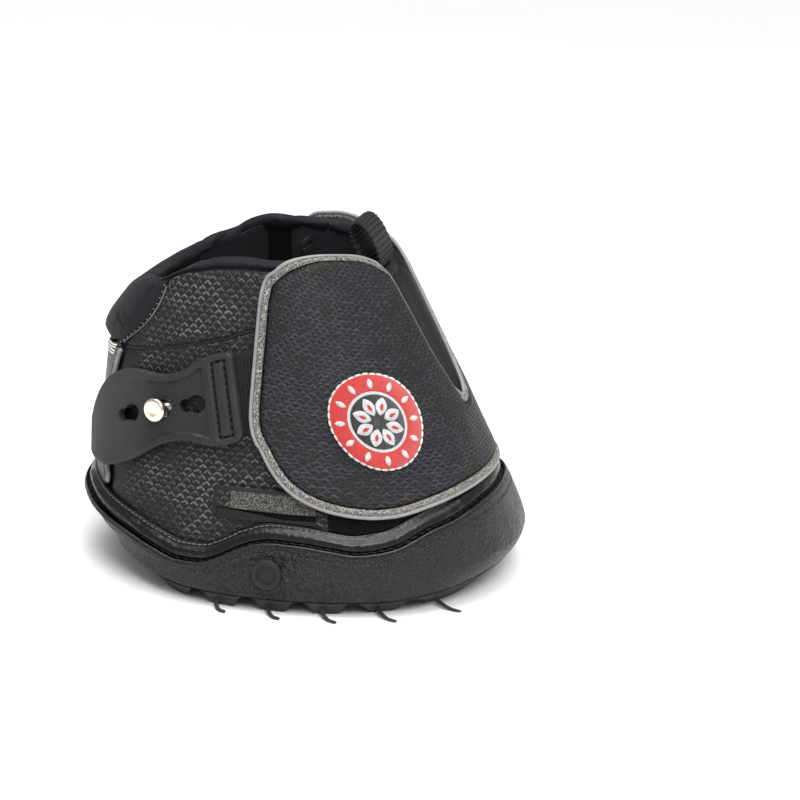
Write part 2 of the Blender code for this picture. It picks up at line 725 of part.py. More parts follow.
def make_whiskers():
    """Moulding whiskers left on the outer face of each lug row, lying forwards and out on the ground."""
    for side, label in ((1, "outer"), (-1, "inner")):
        for index in range(WHISKER_COUNT):
            y = FIRST_WHISKER_Y + index * LUG_PITCH
            edge = lug_side(y, WHISKER_RISE)
            ahead = lug_side(y + SEAT_GAP, WHISKER_RISE)
            slope = (ahead - lug_side(y - SEAT_GAP, WHISKER_RISE)) / (2 * SEAT_GAP)
            away = Vector((-side, -slope, 0.0)).normalized()
            root = Vector((-side * edge, y, 0.0)) + away * SEAT_GAP
            points = []
            for step in range(WHISKER_STEPS + 1):
                share = step / WHISKER_STEPS
                out = WHISKER_REACH * math.sin(share * math.pi / 2)
                forward = WHISKER_SWEEP * (1 - math.cos(share * math.pi / 2))
                z = between(WHISKER_RISE, WHISKER_FLOOR, min(1.0, share * WHISKER_DROP_SHARE))
                points.append(root + away * out + Vector((0.0, -forward, z)))
            tube(f"whisker_{label}_{index + 1}", points, WHISKER_RADIUS, "tread_rubber")


def make_insole():
    """Flat foam pad on the floor of the cup."""
    inset = SEAT_GAP + PANEL_GAP
    low = SOLE_FLOOR_TOP + SEAT_GAP
    sizes = (SOLE_WELL_FRONT - inset, SOLE_WELL_REAR - inset, SOLE_WELL_HALF - inset)
    rings = [oval_ring(*sizes, low), oval_ring(*sizes, low + INSOLE_THICKNESS)]
    return loft("insole_pad", rings, "foam")


def make_welt():
    """Rubber band round the foot of the upper, thick at the sole and thin at its top."""
    def height_at(share):
        return lambda turn: between(sole_top(turn) + SEAT_GAP, welt_top(turn), share)

    foot = PANEL_GAP + WELT_FOOT_THICKNESS
    rings = [
        wall_ring(PANEL_GAP, height_at(0.0)),
        wall_ring(foot, height_at(0.0)),
        wall_ring(foot, height_at(WELT_SHOULDER_SHARE)),
        wall_ring(PANEL_GAP + WELT_TOP_THICKNESS, height_at(1.0)),
        wall_ring(PANEL_GAP, height_at(1.0)),
    ]
    return loft("welt_band", rings, "sidewall_rubber", closed_profile=True)


def make_sole_seam():
    """Thread that lies in the groove between the welt band and the sole's upper edge."""
    offset = PANEL_GAP + WELT_FOOT_THICKNESS + SEAM_THREAD_RADIUS + SEAT_GAP
    lift = SEAT_GAP + SEAM_THREAD_RADIUS
    points = wall_ring(offset, lambda turn: sole_top(turn) + lift)
    return tube("sole_seam_thread", points, SEAM_THREAD_RADIUS, "thread", closed=True)


def panel_top(turn):
    """Top of the liner and of the outer panels, just under the collar roll."""
    return rim_height(turn) - 2 * COLLAR_RADIUS - COLLAR_CLEARANCE


def make_liner():
    """Neoprene sock inside the upper, from the cup's ledge to the collar roll."""
    def height_at(share):
        return lambda turn: between(panel_foot(turn), panel_top(turn), share)

    shares = [row / LINER_ROWS for row in range(LINER_ROWS + 1)]
    rings = [wall_ring(LINER_INNER, height_at(share)) for share in shares]
    rings += [wall_ring(LINER_OUTER, height_at(share)) for share in reversed(shares)]
    return loft("neoprene_liner", rings, "neoprene", closed_profile=True)


def make_collar():
    """Padded roll round the top opening, seated on the liner."""
    points = wall_ring(COLLAR_OFFSET, lambda turn: rim_height(turn) - COLLAR_RADIUS, count=COLLAR_COLUMNS)
    return tube("collar_roll", points, COLLAR_RADIUS, "neoprene", closed=True)


def make_side_panels():
    """Lower and upper side panel on each side, with a cross seam between them."""
    made = []
    for side, label, front in ((1, "outer", VAMP_OUTER_TURN), (-1, "inner", -VAMP_INNER_TURN)):
        start = front + degrees_of(PANEL_GAP, front, SOLE_TOP_HEIGHT)

        def lower(u, v, start=start, side=side):
            guess = between(panel_foot(HEEL_BORDER_TURN), HEEL_STRIP_TOP, v)
            turn = between(start, rear_border(guess), u)
            return side * turn, between(panel_foot(turn), seam_height(turn) - SEAM_GAP / 2, v)

        def upper(u, v, start=start, side=side):
            low = seam_height(PAD_SHOULDER_TURN)
            guess = between(low, panel_top(PAD_SHOULDER_TURN), v)
            turn = between(start, pad_border(guess), u)
            return side * turn, between(seam_height(turn) + SEAM_GAP / 2, panel_top(turn), v)

        made.append(panel(f"{label}_side_panel_lower", 20, 6, mirror_u(lower, side), PANEL_INNER,
                          PANEL_THICKNESS, "embossed_leather"))
        made.append(panel(f"{label}_side_panel_upper", 16, 3, mirror_u(upper, side), PANEL_INNER,
                          PANEL_THICKNESS, "embossed_leather"))
    return made


def mirror_u(place, side):
    """Run a panel's columns the other way on the inner side, so that its faces still point out."""
    return place if side > 0 else (lambda u, v: place(1 - u, v))


def make_vamp():
    """Toe panel under the flap."""
    place = strip_place(VAMP_INNER_TURN, VAMP_OUTER_TURN, panel_foot, lambda turn: VAMP_TOP_HEIGHT)
    return panel("vamp", 14, 2, place, PANEL_INNER, PANEL_THICKNESS, "embossed_leather")


def make_gusset():
    """Stretch panel behind the flap's notch."""
    foot = VAMP_TOP_HEIGHT + PANEL_GAP
    place = strip_place(VAMP_INNER_TURN, VAMP_OUTER_TURN, lambda turn: foot, panel_top)
    return panel("front_gusset", 14, 4, place, PANEL_INNER, GUSSET_THICKNESS, "neoprene")


def make_heel():
    """Heel strip, its two pipings, the stretch pad over it and the bartacks at its top."""
    def strip(u, v):
        height = between(panel_foot(180), HEEL_STRIP_TOP, v)
        border = heel_border(height)
        clear = degrees_of(HEEL_PIPING_RADIUS + HEEL_PIPING_CLEARANCE, border, height)
        start = border + clear
        return between(start, 360 - start, u), height

    def pad(u, v):
        low = HEEL_STRIP_TOP + PANEL_GAP * 2
        guess = between(low, panel_top(PAD_SHOULDER_TURN), v)
        start = pad_border(guess) + degrees_of(PANEL_GAP * 2, PAD_SHOULDER_TURN, guess)
        turn = between(start, 360 - start, u)
        return turn, between(low, panel_top(turn), v)

    def crown(u, v):
        swell = (1 - (2 * u - 1) ** 4) * (1 - (2 * v - 1) ** 4)
        return PANEL_THICKNESS + HEEL_PAD_CROWN * swell

    panel("heel_strip", 10, 6, strip, PANEL_INNER, PANEL_THICKNESS, "reflective_tape")
    padded_panel("heel_pad", 14, 4, pad, PANEL_INNER, crown, "neoprene")
    for label, side in (("outer", 1), ("inner", -1)):
        points = []
        steps = 14
        low, high = welt_top(HEEL_BORDER_TURN) + HEEL_PIPING_RADIUS, HEEL_STRIP_TOP - HEEL_PIPING_RADIUS
        for step in range(steps + 1):
            height = between(low, high, step / steps)
            points.append(wall(side * heel_border(height), height, HEEL_PIPING_RADIUS / 2))
        tube(f"heel_piping_{label}", points, HEEL_PIPING_RADIUS, "grey_piping")
    make_bartacks()


def make_bartacks():
    """Short bars of close stitches that hold the heel strip's upper corners."""
    for turn, label in zip(BARTACK_TURNS, ("outer", "inner")):
        height = HEEL_STRIP_TOP - BARTACK_DROP
        centre = wall(turn, height, SEAT_GAP + BARTACK_THICKNESS / 2)
        normal = outward(turn, height)
        up = (wall(turn, height + CUT_OVERRUN) - wall(turn, height)).normalized()
        across = up.cross(normal).normalized()
        turned_axes = Matrix((across, up, normal)).transposed().to_4x4()
        size = Matrix.Diagonal((BARTACK_LENGTH, BARTACK_WIDTH, BARTACK_THICKNESS, 1.0))
        bm = bmesh.new()
        bmesh.ops.create_cube(bm, size=1.0, matrix=Matrix.Translation(centre) @ turned_axes @ size)
        add_object(f"heel_bartack_{label}", mesh_from(bm, label), "thread")


def make_overlay_strip():
    """Low strip along the foot of the outer side, in front of the closure."""
    def foot(turn):
        return max(welt_top(turn), STRIP_LOW_HEIGHT) + SEAT_GAP

    place = strip_place(STRIP_FRONT_TURN, STRIP_REAR_TURN, foot, lambda turn: STRIP_TOP_HEIGHT)
    return panel("overlay_strip", 8, 1, place, SEAT_GAP, STRIP_THICKNESS, "reflective_tape")


def make_hook_patch():
    """Hook patch low on the boot, under the flap's lower edge."""
    hook = strip_place(HOOK_FRONT_TURN, HOOK_REAR_TURN, lambda turn: welt_top(turn) + SEAT_GAP,
                       lambda turn: HOOK_TOP_HEIGHT)
    return panel("hook_patch", 12, 2, hook, HOOK_INNER, HOOK_THICKNESS, "hook_and_loop")


def make_loop_patch():
    """Loop patch on the flap's inside, pressed on the hook patch when the flap is closed."""
    loop = strip_place(HOOK_FRONT_TURN + LOOP_PATCH_INSET_TURN, HOOK_REAR_TURN - LOOP_PATCH_INSET_TURN,
                       lambda turn: flap_bottom(turn) + LOOP_PATCH_RISE,
                       lambda turn: HOOK_TOP_HEIGHT)
    return panel("loop_patch", 12, 2, loop, LOOP_PATCH_INNER, LOOP_PATCH_THICKNESS, "hook_and_loop")


def drawn_in(edge, turn, inset, upper, limits):
    """An edge line moved into the leather by an inset, as a wheel of that radius rolling inside it."""
    height = edge(turn)
    per_length = degrees_of(inset, turn, height) / inset
    found = None
    for step in range(-INSET_STEPS, INSET_STEPS + 1):
        shift = inset * step / INSET_STEPS
        place = min(max(turn + shift * per_length, limits[0]), limits[1])
        drop = math.sqrt(max(inset * inset - shift * shift, 0.0))
        here = edge(place) - drop if upper else edge(place) + drop
        if found is None or (here < found if upper else here > found):
            found = here
    return found


def drawn_turn(turn, inset):
    """A column's turn, drawn in towards the fold so that the last one keeps its inset from the rear edge."""
    end = FLAP_REAR_TURN if turn > 0 else SHIELD_REAR_TURN
    if end < 0 and turn > FOLD_TURN:
        return turn
    start = 0.0 if end > 0 else FOLD_TURN
    room = degrees_of(inset, end, FLAP_TOP_HEIGHT / 2)
    share = (turn - start) / (end - start)
    return turn - math.copysign(room, end) * share


def shell_place(columns, inset):
    """A place function for the flap or the shield, between its inset lower and upper edge lines."""
    read = grid_steps(columns)
    limits = (SHIELD_REAR_TURN, FLAP_REAR_TURN)

    def place(u, v):
        turn = drawn_turn(read(u), inset)
        low = drawn_in(flap_bottom, turn, inset, False, limits)
        high = drawn_in(flap_top, turn, inset, True, limits)
        return turn, between(low, high, v)
    return place


def piping_points(columns):
    """Centre line of a piping: along the lower edge, up the rear edge, and back along the upper edge."""
    limits = (SHIELD_REAR_TURN, FLAP_REAR_TURN)
    low, high = [], []
    for column in columns:
        turn = drawn_turn(column, PIPING_RADIUS)
        low.append((turn, drawn_in(flap_bottom, turn, PIPING_RADIUS, False, limits)))
        high.append((turn, drawn_in(flap_top, turn, PIPING_RADIUS, True, limits)))
    rear = [(low[-1][0], between(low[-1][1], high[-1][1], step / PIPING_REAR_STEPS))
            for step in range(1, PIPING_REAR_STEPS)]
    return [wall(turn, height, PIPING_OFFSET) for turn, height in low + rear + high[::-1]]


def make_flap():
    """Front flap: leather, lining, piping round its free edge, and the badge."""
    clear = degrees_of(FOLD_GAP / 2, FOLD_TURN, FLAP_TOP_HEIGHT)
    columns = [FOLD_TURN + clear] + list(INNER_COLUMNS[1:]) + list(FLAP_COLUMNS)
    place = shell_place(columns, 2 * PIPING_RADIUS + PIPING_SEAT)
    count = len(columns) - 1
    flap = panel("front_flap", count, 5, place, FLAP_INNER, FLAP_THICKNESS, "embossed_leather")
    lining = panel("flap_lining", count, 2, place, LINING_INNER, LINING_THICKNESS, "neoprene")
    points = piping_points([FOLD_TURN + PIPING_END_SHARE * clear] + columns[1:])
    piping = tube("flap_piping", points, PIPING_RADIUS, "grey_piping")
    return [flap, lining, piping, make_badge()]


def make_shield():
    """Fixed half of the front shield on the inner side, behind the fold, with its padding and piping."""
    clear = degrees_of(FOLD_GAP / 2, FOLD_TURN, FLAP_TOP_HEIGHT)
    columns = list(SHIELD_COLUMNS[:-1]) + [FOLD_TURN - clear]
    place = shell_place(columns, 2 * PIPING_RADIUS + PIPING_SEAT)
    count = len(columns) - 1
    panel("shield_panel", count, 5, place, FLAP_INNER, FLAP_THICKNESS, "embossed_leather")
    padding = FLAP_INNER - SEAT_GAP - HOOK_INNER
    padding_place = shell_place(columns, 2 * PIPING_RADIUS + PADDING_SEAT)
    panel("shield_padding", count, 3, padding_place, HOOK_INNER, padding, "neoprene")
    points = piping_points([FOLD_TURN - PIPING_END_SHARE * clear] + columns[-2::-1])
    tube("shield_piping", points, PIPING_RADIUS, "grey_piping")


def make_badge():
    """Round embroidered patch on the flap, laid on the leather."""
    bm = bmesh.new()
    rows = []
    for ring in range(BADGE_RINGS + 1):
        row = []
        for side in range(BADGE_SIDES if ring else 1):
            angle = 2 * math.pi * side / BADGE_SIDES
            reach = BADGE_RADIUS * ring / BADGE_RINGS
            turn, height = walk(BADGE_TURN, BADGE_HEIGHT, reach * math.cos(angle), reach * math.sin(angle))
            row.append(bm.verts.new(wall(turn, height, FLAP_OUTER + BADGE_STEP)))
        rows.append(row)
    for side in range(BADGE_SIDES):
        follow = (side + 1) % BADGE_SIDES
        bm.faces.new((rows[0][0], rows[1][side], rows[1][follow]))
        for low, high in zip(rows[1:], rows[2:]):
            bm.faces.new((low[side], high[side], high[follow], low[follow]))
    bm.normal_update()
    facing = sum((face.normal for face in bm.faces), Vector()).dot(outward(BADGE_TURN, BADGE_HEIGHT))
    if facing < 0:
        bmesh.ops.reverse_faces(bm, faces=bm.faces)
    badge = add_object("badge_patch", mesh_from(bm, "badge_patch"), "badge_cloth")
    solid = badge.modifiers.new("thickness", "SOLIDIFY")
    solid.thickness = BADGE_THICKNESS
    solid.offset = 1.0
    return badge


def tab_place(along, across):
    """Turn and height of a spot on the closure, from the stud: along towards the heel, across upwards."""
    slant = math.radians(TAB_SLANT_DEGREES)
    bend = TAB_BEND_SHARE * max(along, 0.0) ** 2 / TAB_REAR_LENGTH
    level = along * math.cos(slant) - across * math.sin(slant)
    up = along * math.sin(slant) + across * math.cos(slant) - bend
    return walk(STUD_TURN, STUD_HEIGHT, level, up)


def tab_offset(along):
    """The tab's inner face stands further off towards the heel, over the heel piping."""
    share = min(max(along / TAB_REAR_LENGTH, 0.0), 1.0)
    return TAB_INNER + TAB_REAR_STANDOFF * share


def make_tab():
    """Rubber tab with three keyholes and a stitched bar at its front end."""
    length = TAB_FRONT_LENGTH + TAB_REAR_LENGTH
    shares = [share for share, _ in TAB_OUTLINE_SHARES]
    read = grid_steps(shares)

    def place(u, v):
        share = read(u)
        half = TAB_HALF_WIDTH * smooth_share(TAB_OUTLINE_SHARES, share)
        return tab_place(share * length - TAB_FRONT_LENGTH, half * (2 * v - 1))

    def inner(u, v):
        return tab_offset(read(u) * length - TAB_FRONT_LENGTH)

    tab = panel("closure_tab", len(shares) - 1, 6, place, inner, TAB_THICKNESS, "tab_rubber")
    for index in range(KEYHOLE_COUNT):
        along = (index - KEYHOLE_STUD_INDEX) * KEYHOLE_PITCH - KEYHOLE_REST_SHARE * KEYHOLE_TRAVEL
        for label, step, radius in (("wide", 0.0, KEYHOLE_WIDE_RADIUS),
                                    ("narrow", KEYHOLE_TRAVEL, KEYHOLE_NARROW_RADIUS)):
            spot = tab_place(along + step, 0.0)
            middle = tab_place(along + KEYHOLE_TRAVEL / 2, 0.0)
            hole = cylinder(f"keyhole_{label}_{index}", wall(*spot, TAB_INNER), outward(*middle), radius,
                            4 * TAB_THICKNESS)
            boolean(tab, hole, "DIFFERENCE")
    return [tab, make_tab_stitching()]


def make_tab_stitching():
    """Thread that runs round the bar where the strap's end is sewn to the tab."""
    rest = TAB_OUTER + SEAT_GAP + STITCH_RADIUS
    points = []
    for index in range(STITCH_POINTS):
        angle = 2 * math.pi * index / STITCH_POINTS
        corner = max(abs(math.cos(angle)), abs(math.sin(angle)))
        along = BAR_CENTRE + BAR_HALF_WIDTH * math.cos(angle) / corner
        points.append(wall(*tab_place(along, BAR_HALF_LENGTH * math.sin(angle) / corner), rest))
    return tube("tab_stitching", points, STITCH_RADIUS, "thread", closed=True)


def make_strap():
    """Elastic strap, sewn under the flap's rear edge and under the tab's front end."""
    rear = STRAP_OVERLAP - TAB_FRONT_LENGTH

    def place(u, v):
        return tab_place(between(rear - STRAP_LENGTH, rear, u), STRAP_HALF_WIDTH * (2 * v - 1))
    return panel("elastic_strap", 10, 3, place, SEAT_GAP, STRAP_THICKNESS, "webbing")


def turned(name, profile, origin, axis, finish):
    """A turned piece: a profile of radius and height, top first, spun about an axis."""
    data = bpy.data.meshes.new(name)
    points = [(radius, 0.0, height) for radius, height in profile]
    data.from_pydata(points, [(i, i + 1) for i in range(len(points) - 1)], [])
    made = add_object(name, data, finish)
    made.location = origin
    made.rotation_euler = axis.to_track_quat("Z", "Y").to_euler()
    spin = made.modifiers.new("spin", "SCREW")
    spin.axis = "Z"
    spin.steps = ROUND_SIDES
    spin.render_steps = ROUND_SIDES
    spin.use_merge_vertices = True
    spin.merge_threshold = SEAT_GAP / 30
    return made


def make_stud(panel_lower, liner):
    """Stud riveted through the side panel, with its backplate let into the liner."""
    origin = wall(STUD_TURN, STUD_HEIGHT)
    axis = outward(STUD_TURN, STUD_HEIGHT)
    head_low = TAB_OUTER + STUD_HEAD_CLEARANCE
    head_top = head_low + STUD_HEAD_THICKNESS
    flange_top = SEAT_GAP + STUD_FLANGE_THICKNESS
    edge = STUD_HEAD_THICKNESS / 4
    profile = (
        (0.0, head_top), (STUD_HEAD_RADIUS - edge, head_top), (STUD_HEAD_RADIUS, head_top - edge),
        (STUD_HEAD_RADIUS, head_low + edge), (STUD_HEAD_RADIUS - edge, head_low),
        (STUD_NECK_RADIUS, head_low), (STUD_NECK_RADIUS, TAB_INNER), (STUD_FLANGE_RADIUS - edge, flange_top),
        (STUD_FLANGE_RADIUS, flange_top - edge), (STUD_FLANGE_RADIUS, SEAT_GAP),
        (STUD_POST_RADIUS, SEAT_GAP), (STUD_POST_RADIUS, LINER_OUTER), (0.0, LINER_OUTER),
    )
    turned("closure_stud", profile, origin, axis, "stud_metal")
    hole = cylinder("post_hole", origin, axis, STUD_POST_RADIUS + POST_HOLE_CLEARANCE, CUT_OVERRUN * 2)
    boolean(panel_lower, hole, "DIFFERENCE")
    plate_top = LINER_OUTER - SEAT_GAP
    plate_middle = plate_top - BACKPLATE_THICKNESS / 2
    cylinder("stud_backplate", origin + axis * plate_middle, axis, BACKPLATE_RADIUS, BACKPLATE_THICKNESS,
             "stud_metal")
    pocket_floor = plate_top - BACKPLATE_THICKNESS - SEAT_GAP
    pocket_length = CUT_OVERRUN - pocket_floor
    pocket = cylinder("backplate_pocket", origin + axis * (pocket_floor + pocket_length / 2), axis,
                      BACKPLATE_RADIUS + SEAT_GAP, pocket_length)
    boolean(liner, pocket, "DIFFERENCE")


def make_pull_loop():
    """Webbing loop that stands on the front of the collar and folds about its root."""
    lean = math.atan(TOE_LEAN_SHARE)
    up = Vector((0.0, math.sin(lean), math.cos(lean)))
    front = Vector((0.0, -math.cos(lean), math.sin(lean)))
    roll_middle = wall(0.0, rim_height(0.0) - COLLAR_RADIUS, COLLAR_OFFSET)
    root = roll_middle + up * (COLLAR_RADIUS + LOOP_ROOT_STEP)
    curve = bpy.data.curves.new("pull_loop", "CURVE")
    curve.dimensions = "2D"
    curve.fill_mode = "BOTH"
    curve.extrude = LOOP_WIDTH / 2
    for shrink in (0.0, LOOP_THICKNESS):
        spline = curve.splines.new("POLY")
        spline.points.add(LOOP_SIDES - 1)
        for index, item in enumerate(spline.points):
            angle = 2 * math.pi * index / LOOP_SIDES
            across = (LOOP_GAP / 2 + LOOP_THICKNESS - shrink) * math.cos(angle)
            rise = LOOP_RISE / 2 + (LOOP_RISE / 2 - shrink) * math.sin(angle)
            item.co = (across, rise, 0.0, 1.0)
        spline.use_cyclic_u = True
    loop = add_object("pull_loop", curve, "webbing")
    loop.rotation_euler = Matrix((front, up, front.cross(up))).transposed().to_euler()
    return loop, root


def hang_moving_pieces(flap_pieces, strap_pieces, tab_pieces, loop, loop_root):
    """Hang each moving group on an empty that stands on its joint's axis."""
    hang_on("flap_hinge", wall(FOLD_TURN, FLAP_BOTTOM_HEIGHT, FLAP_OUTER), flap_pieces)
    strap_root = wall(*tab_place(-TAB_FRONT_LENGTH - STRAP_HINGE_STEP, 0.0), SEAT_GAP + STRAP_THICKNESS)
    hang_on("strap_hinge", strap_root, strap_pieces)
    hang_on("tab_runner", wall(STUD_TURN, STUD_HEIGHT, TAB_INNER), tab_pieces)
    loop.parent = hang_on("loop_hinge", loop_root, [])


def main():
    clear_scene()
    make_collections()
    make_sole()
    make_tread()
    make_whiskers()
    make_insole()
    make_welt()
    make_sole_seam()
    liner = make_liner()
    make_collar()
    side_panels = make_side_panels()
    make_vamp()
    make_gusset()
    make_heel()
    make_overlay_strip()
    make_hook_patch()
    make_shield()
    make_stud(side_panels[0], liner)
    flap_pieces = make_flap() + [make_loop_patch()]
    loop, loop_root = make_pull_loop()
    hang_moving_pieces(flap_pieces, [make_strap()], make_tab(), loop, loop_root)


main()
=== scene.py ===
"""Dressed horse hoof boot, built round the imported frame.

Metres, +Z up, toe towards -Y, closure side towards -X. The upper is a leaning wall: a spot on it is a turn
in degrees (0 at the toe, 90 on the closure side, 180 at the heel), a height and an offset outwards.
"""
import bisect
import logging
import random
from dataclasses import dataclass, field
from enum import Enum
from math import atan, atan2, copysign, cos, exp, hypot, pi, radians, sin, sqrt
from typing import Callable, Optional, Sequence

import bpy
import bmesh
from mathutils import Matrix, Vector
from mathutils.kdtree import KDTree


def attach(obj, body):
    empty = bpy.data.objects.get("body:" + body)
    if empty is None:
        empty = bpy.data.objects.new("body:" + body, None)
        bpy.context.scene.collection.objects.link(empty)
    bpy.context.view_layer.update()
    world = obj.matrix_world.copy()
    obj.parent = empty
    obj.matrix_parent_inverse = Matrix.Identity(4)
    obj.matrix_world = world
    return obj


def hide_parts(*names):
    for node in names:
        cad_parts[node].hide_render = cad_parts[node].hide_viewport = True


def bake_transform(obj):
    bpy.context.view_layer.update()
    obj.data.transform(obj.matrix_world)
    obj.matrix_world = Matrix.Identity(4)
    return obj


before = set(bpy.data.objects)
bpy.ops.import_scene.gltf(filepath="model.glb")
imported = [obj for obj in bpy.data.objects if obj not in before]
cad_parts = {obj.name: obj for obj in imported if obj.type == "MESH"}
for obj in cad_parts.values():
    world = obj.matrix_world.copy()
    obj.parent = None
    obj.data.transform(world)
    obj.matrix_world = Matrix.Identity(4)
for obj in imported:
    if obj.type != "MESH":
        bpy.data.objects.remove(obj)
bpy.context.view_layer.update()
log = logging.getLogger("hoof_boot")

Pair = tuple[float, float]
Place = Callable[[float, float], Pair]
Depth = Callable[[float, float], float]
Table = Sequence[Pair]
Triple = tuple[float, float, float]
Colour = Triple
Socket = bpy.types.NodeSocket
Piece = bpy.types.Object
Material = bpy.types.Material
Spot = Callable[[float, float], Vector]
Ring = Callable[[float], Vector]
Line = Callable[[float], float]
SIDES = ((1, "outer"), (-1, "inner"))


class Body(Enum):
    """The CAD bodies that pieces ride on."""

    BOOT = "boot"
    FLAP = "flap"
    STRAP = "strap"
    TAB = "tab"
    LOOP = "loop"


def clamp(value: float, low: float, high: float) -> float:
    """Keep a value between two limits."""
    return min(max(value, low), high)


def lerp(low: float, high: float, share: float) -> float:
    """The value a share of the way from low to high."""
    return low + (high - low) * share


def ease(low: float, high: float, value: float) -> float:
    """A smooth step from 0 at low to 1 at high."""
    share = clamp((value - low) / (high - low), 0.0, 1.0)
    return share * share * (3 - 2 * share)


def read_table(table: Table, place: float) -> float:
    """Read a listed table with a smooth curve that never overshoots a step.

    Args:
        table: Pairs of place and value, in rising order of place.
        place: Where to read it.

    Returns:
        The value there, held at the ends.
    """
    if place <= table[0][0]:
        return table[0][1]
    if place >= table[-1][0]:
        return table[-1][1]
    index = 1
    while table[index][0] < place:
        index += 1

    def slope(knot: int) -> float:
        """The chord's slope from a knot to the next."""
        (x0, y0), (x1, y1) = table[knot], table[knot + 1]
        return (y1 - y0) / (x1 - x0)

    def tangent(knot: int) -> float:
        """The curve's slope at a knot.

        Args:
            knot: Index of the knot.

        Returns:
            The slope.
        """
        if knot == 0:
            return slope(0)
        if knot == len(table) - 1:
            return slope(knot - 1)
        before, after = slope(knot - 1), slope(knot)
        return 0.0 if before * after <= 0 else 2 * before * after / (before + after)

    (x0, y0), (x1, y1) = table[index - 1], table[index]
    span = x1 - x0
    t = (place - x0) / span
    rest = 1 - t
    return (y0 * rest * rest * (1 + 2 * t) + y1 * t * t * (3 - 2 * t)
            + tangent(index - 1) * span * t * rest * rest - tangent(index) * span * t * t * rest)


def fold_turn(turn: float) -> float:
    """A turn's distance from the toe, 0 to 180 degrees, alike on both sides."""
    turn = abs(turn) % 360
    return 360 - turn if turn > 180 else turn


@dataclass(frozen=True)
class LeaningWall:
    """The outer face of the side panels: rounded ovals that shrink with height."""

    base_height: float = 0.0265
    toe_reach: float = 0.0800
    heel_reach: float = 0.0825
    half_width: float = 0.0635
    mid_shift: float = 0.0046
    toe_lean: float = 0.543
    heel_lean: float = 0.071
    side_lean: float = 0.240
    toe_power: float = 2.2
    heel_power: float = 2.5
    tuck_height: float = 0.0880
    tuck_ease: float = 0.0060
    tuck_share: float = 0.60
    step: float = 0.002
    arc_height: float = 0.070

    def oval(self, turn: float, front: float, rear: float, half: float) -> Pair:
        """A point on a rounded oval whose toe and heel halves have their own reach.

        Args:
            turn: Turn in degrees.
            front: Reach to the toe.
            rear: Reach to the heel.
            half: Half the width.

        Returns:
            Its x and y.
        """
        angle = radians(turn)
        cosine, sine = cos(angle), sin(angle)
        power = 2 / (self.toe_power if cosine > 0 else self.heel_power)
        reach = front + self.mid_shift if cosine > 0 else rear - self.mid_shift
        x = -copysign(abs(sine) ** power, sine) * half
        return x, self.mid_shift - copysign(abs(cosine) ** power, cosine) * reach

    def point(self, turn: float, height: float, offset: float = 0.0) -> Vector:
        """A point on the wall, or off it by an offset.

        Args:
            turn: Turn in degrees.
            height: Height, in metres.
            offset: Distance outwards from the wall.

        Returns:
            The point.
        """
        rise = height - self.base_height
        front = self.toe_reach - self.toe_lean * rise + offset
        rear = self.heel_reach - self.heel_lean * rise + offset
        half = self.half_width - self.side_lean * rise + offset
        x, y = self.oval(turn, front, rear, half)
        over = max(height - self.tuck_height, 0.0)
        heelward = max(-cos(radians(turn)), 0.0)
        y -= self.tuck_share * over * over / (over + self.tuck_ease) * heelward ** 3
        return Vector((x, y, height))

    def normal(self, turn: float, height: float) -> Vector:
        """The wall's outward normal.

        Args:
            turn: Turn in degrees.
            height: Height, in metres.

        Returns:
            The unit normal.
        """
        along = self.point(turn + 1, height) - self.point(turn - 1, height)
        up = self.point(turn, height + self.step) - self.point(turn, height - self.step)
        return up.cross(along).normalized()

    def degree_length(self, turn: float, height: float) -> float:
        """The length along the wall of one degree of turn."""
        return (self.point(turn + 0.5, height) - self.point(turn - 0.5, height)).length

    def walk(self, turn: float, height: float, across: float, up: float) -> Pair:
        """Turn and height after going a length across, towards the heel on the closure side, and up.

        Args:
            turn: Turn in degrees.
            height: Height, in metres.
            across: Length along the wall.
            up: Length up the wall.

        Returns:
            Turn and height.
        """
        slope = (self.point(turn, height + self.step) - self.point(turn, height)).length / self.step
        end_height = height + up / slope
        steps = 12
        for _ in range(steps):
            turn += across / steps / self.degree_length(turn, end_height)
        return turn, end_height

    def arc(self, turn: float) -> float:
        """The length along the wall from the toe to a turn, for a pattern's own scale.

        Args:
            turn: Turn in degrees.

        Returns:
            The length, signed as the turn.
        """
        steps = max(2, int(abs(turn) / 3))
        total = 0.0
        last = self.point(0.0, self.arc_height)
        for index in range(1, steps + 1):
            here = self.point(turn * index / steps, self.arc_height)
            total += (here - last).length
            last = here
        return copysign(total, turn)


WALL = LeaningWall()


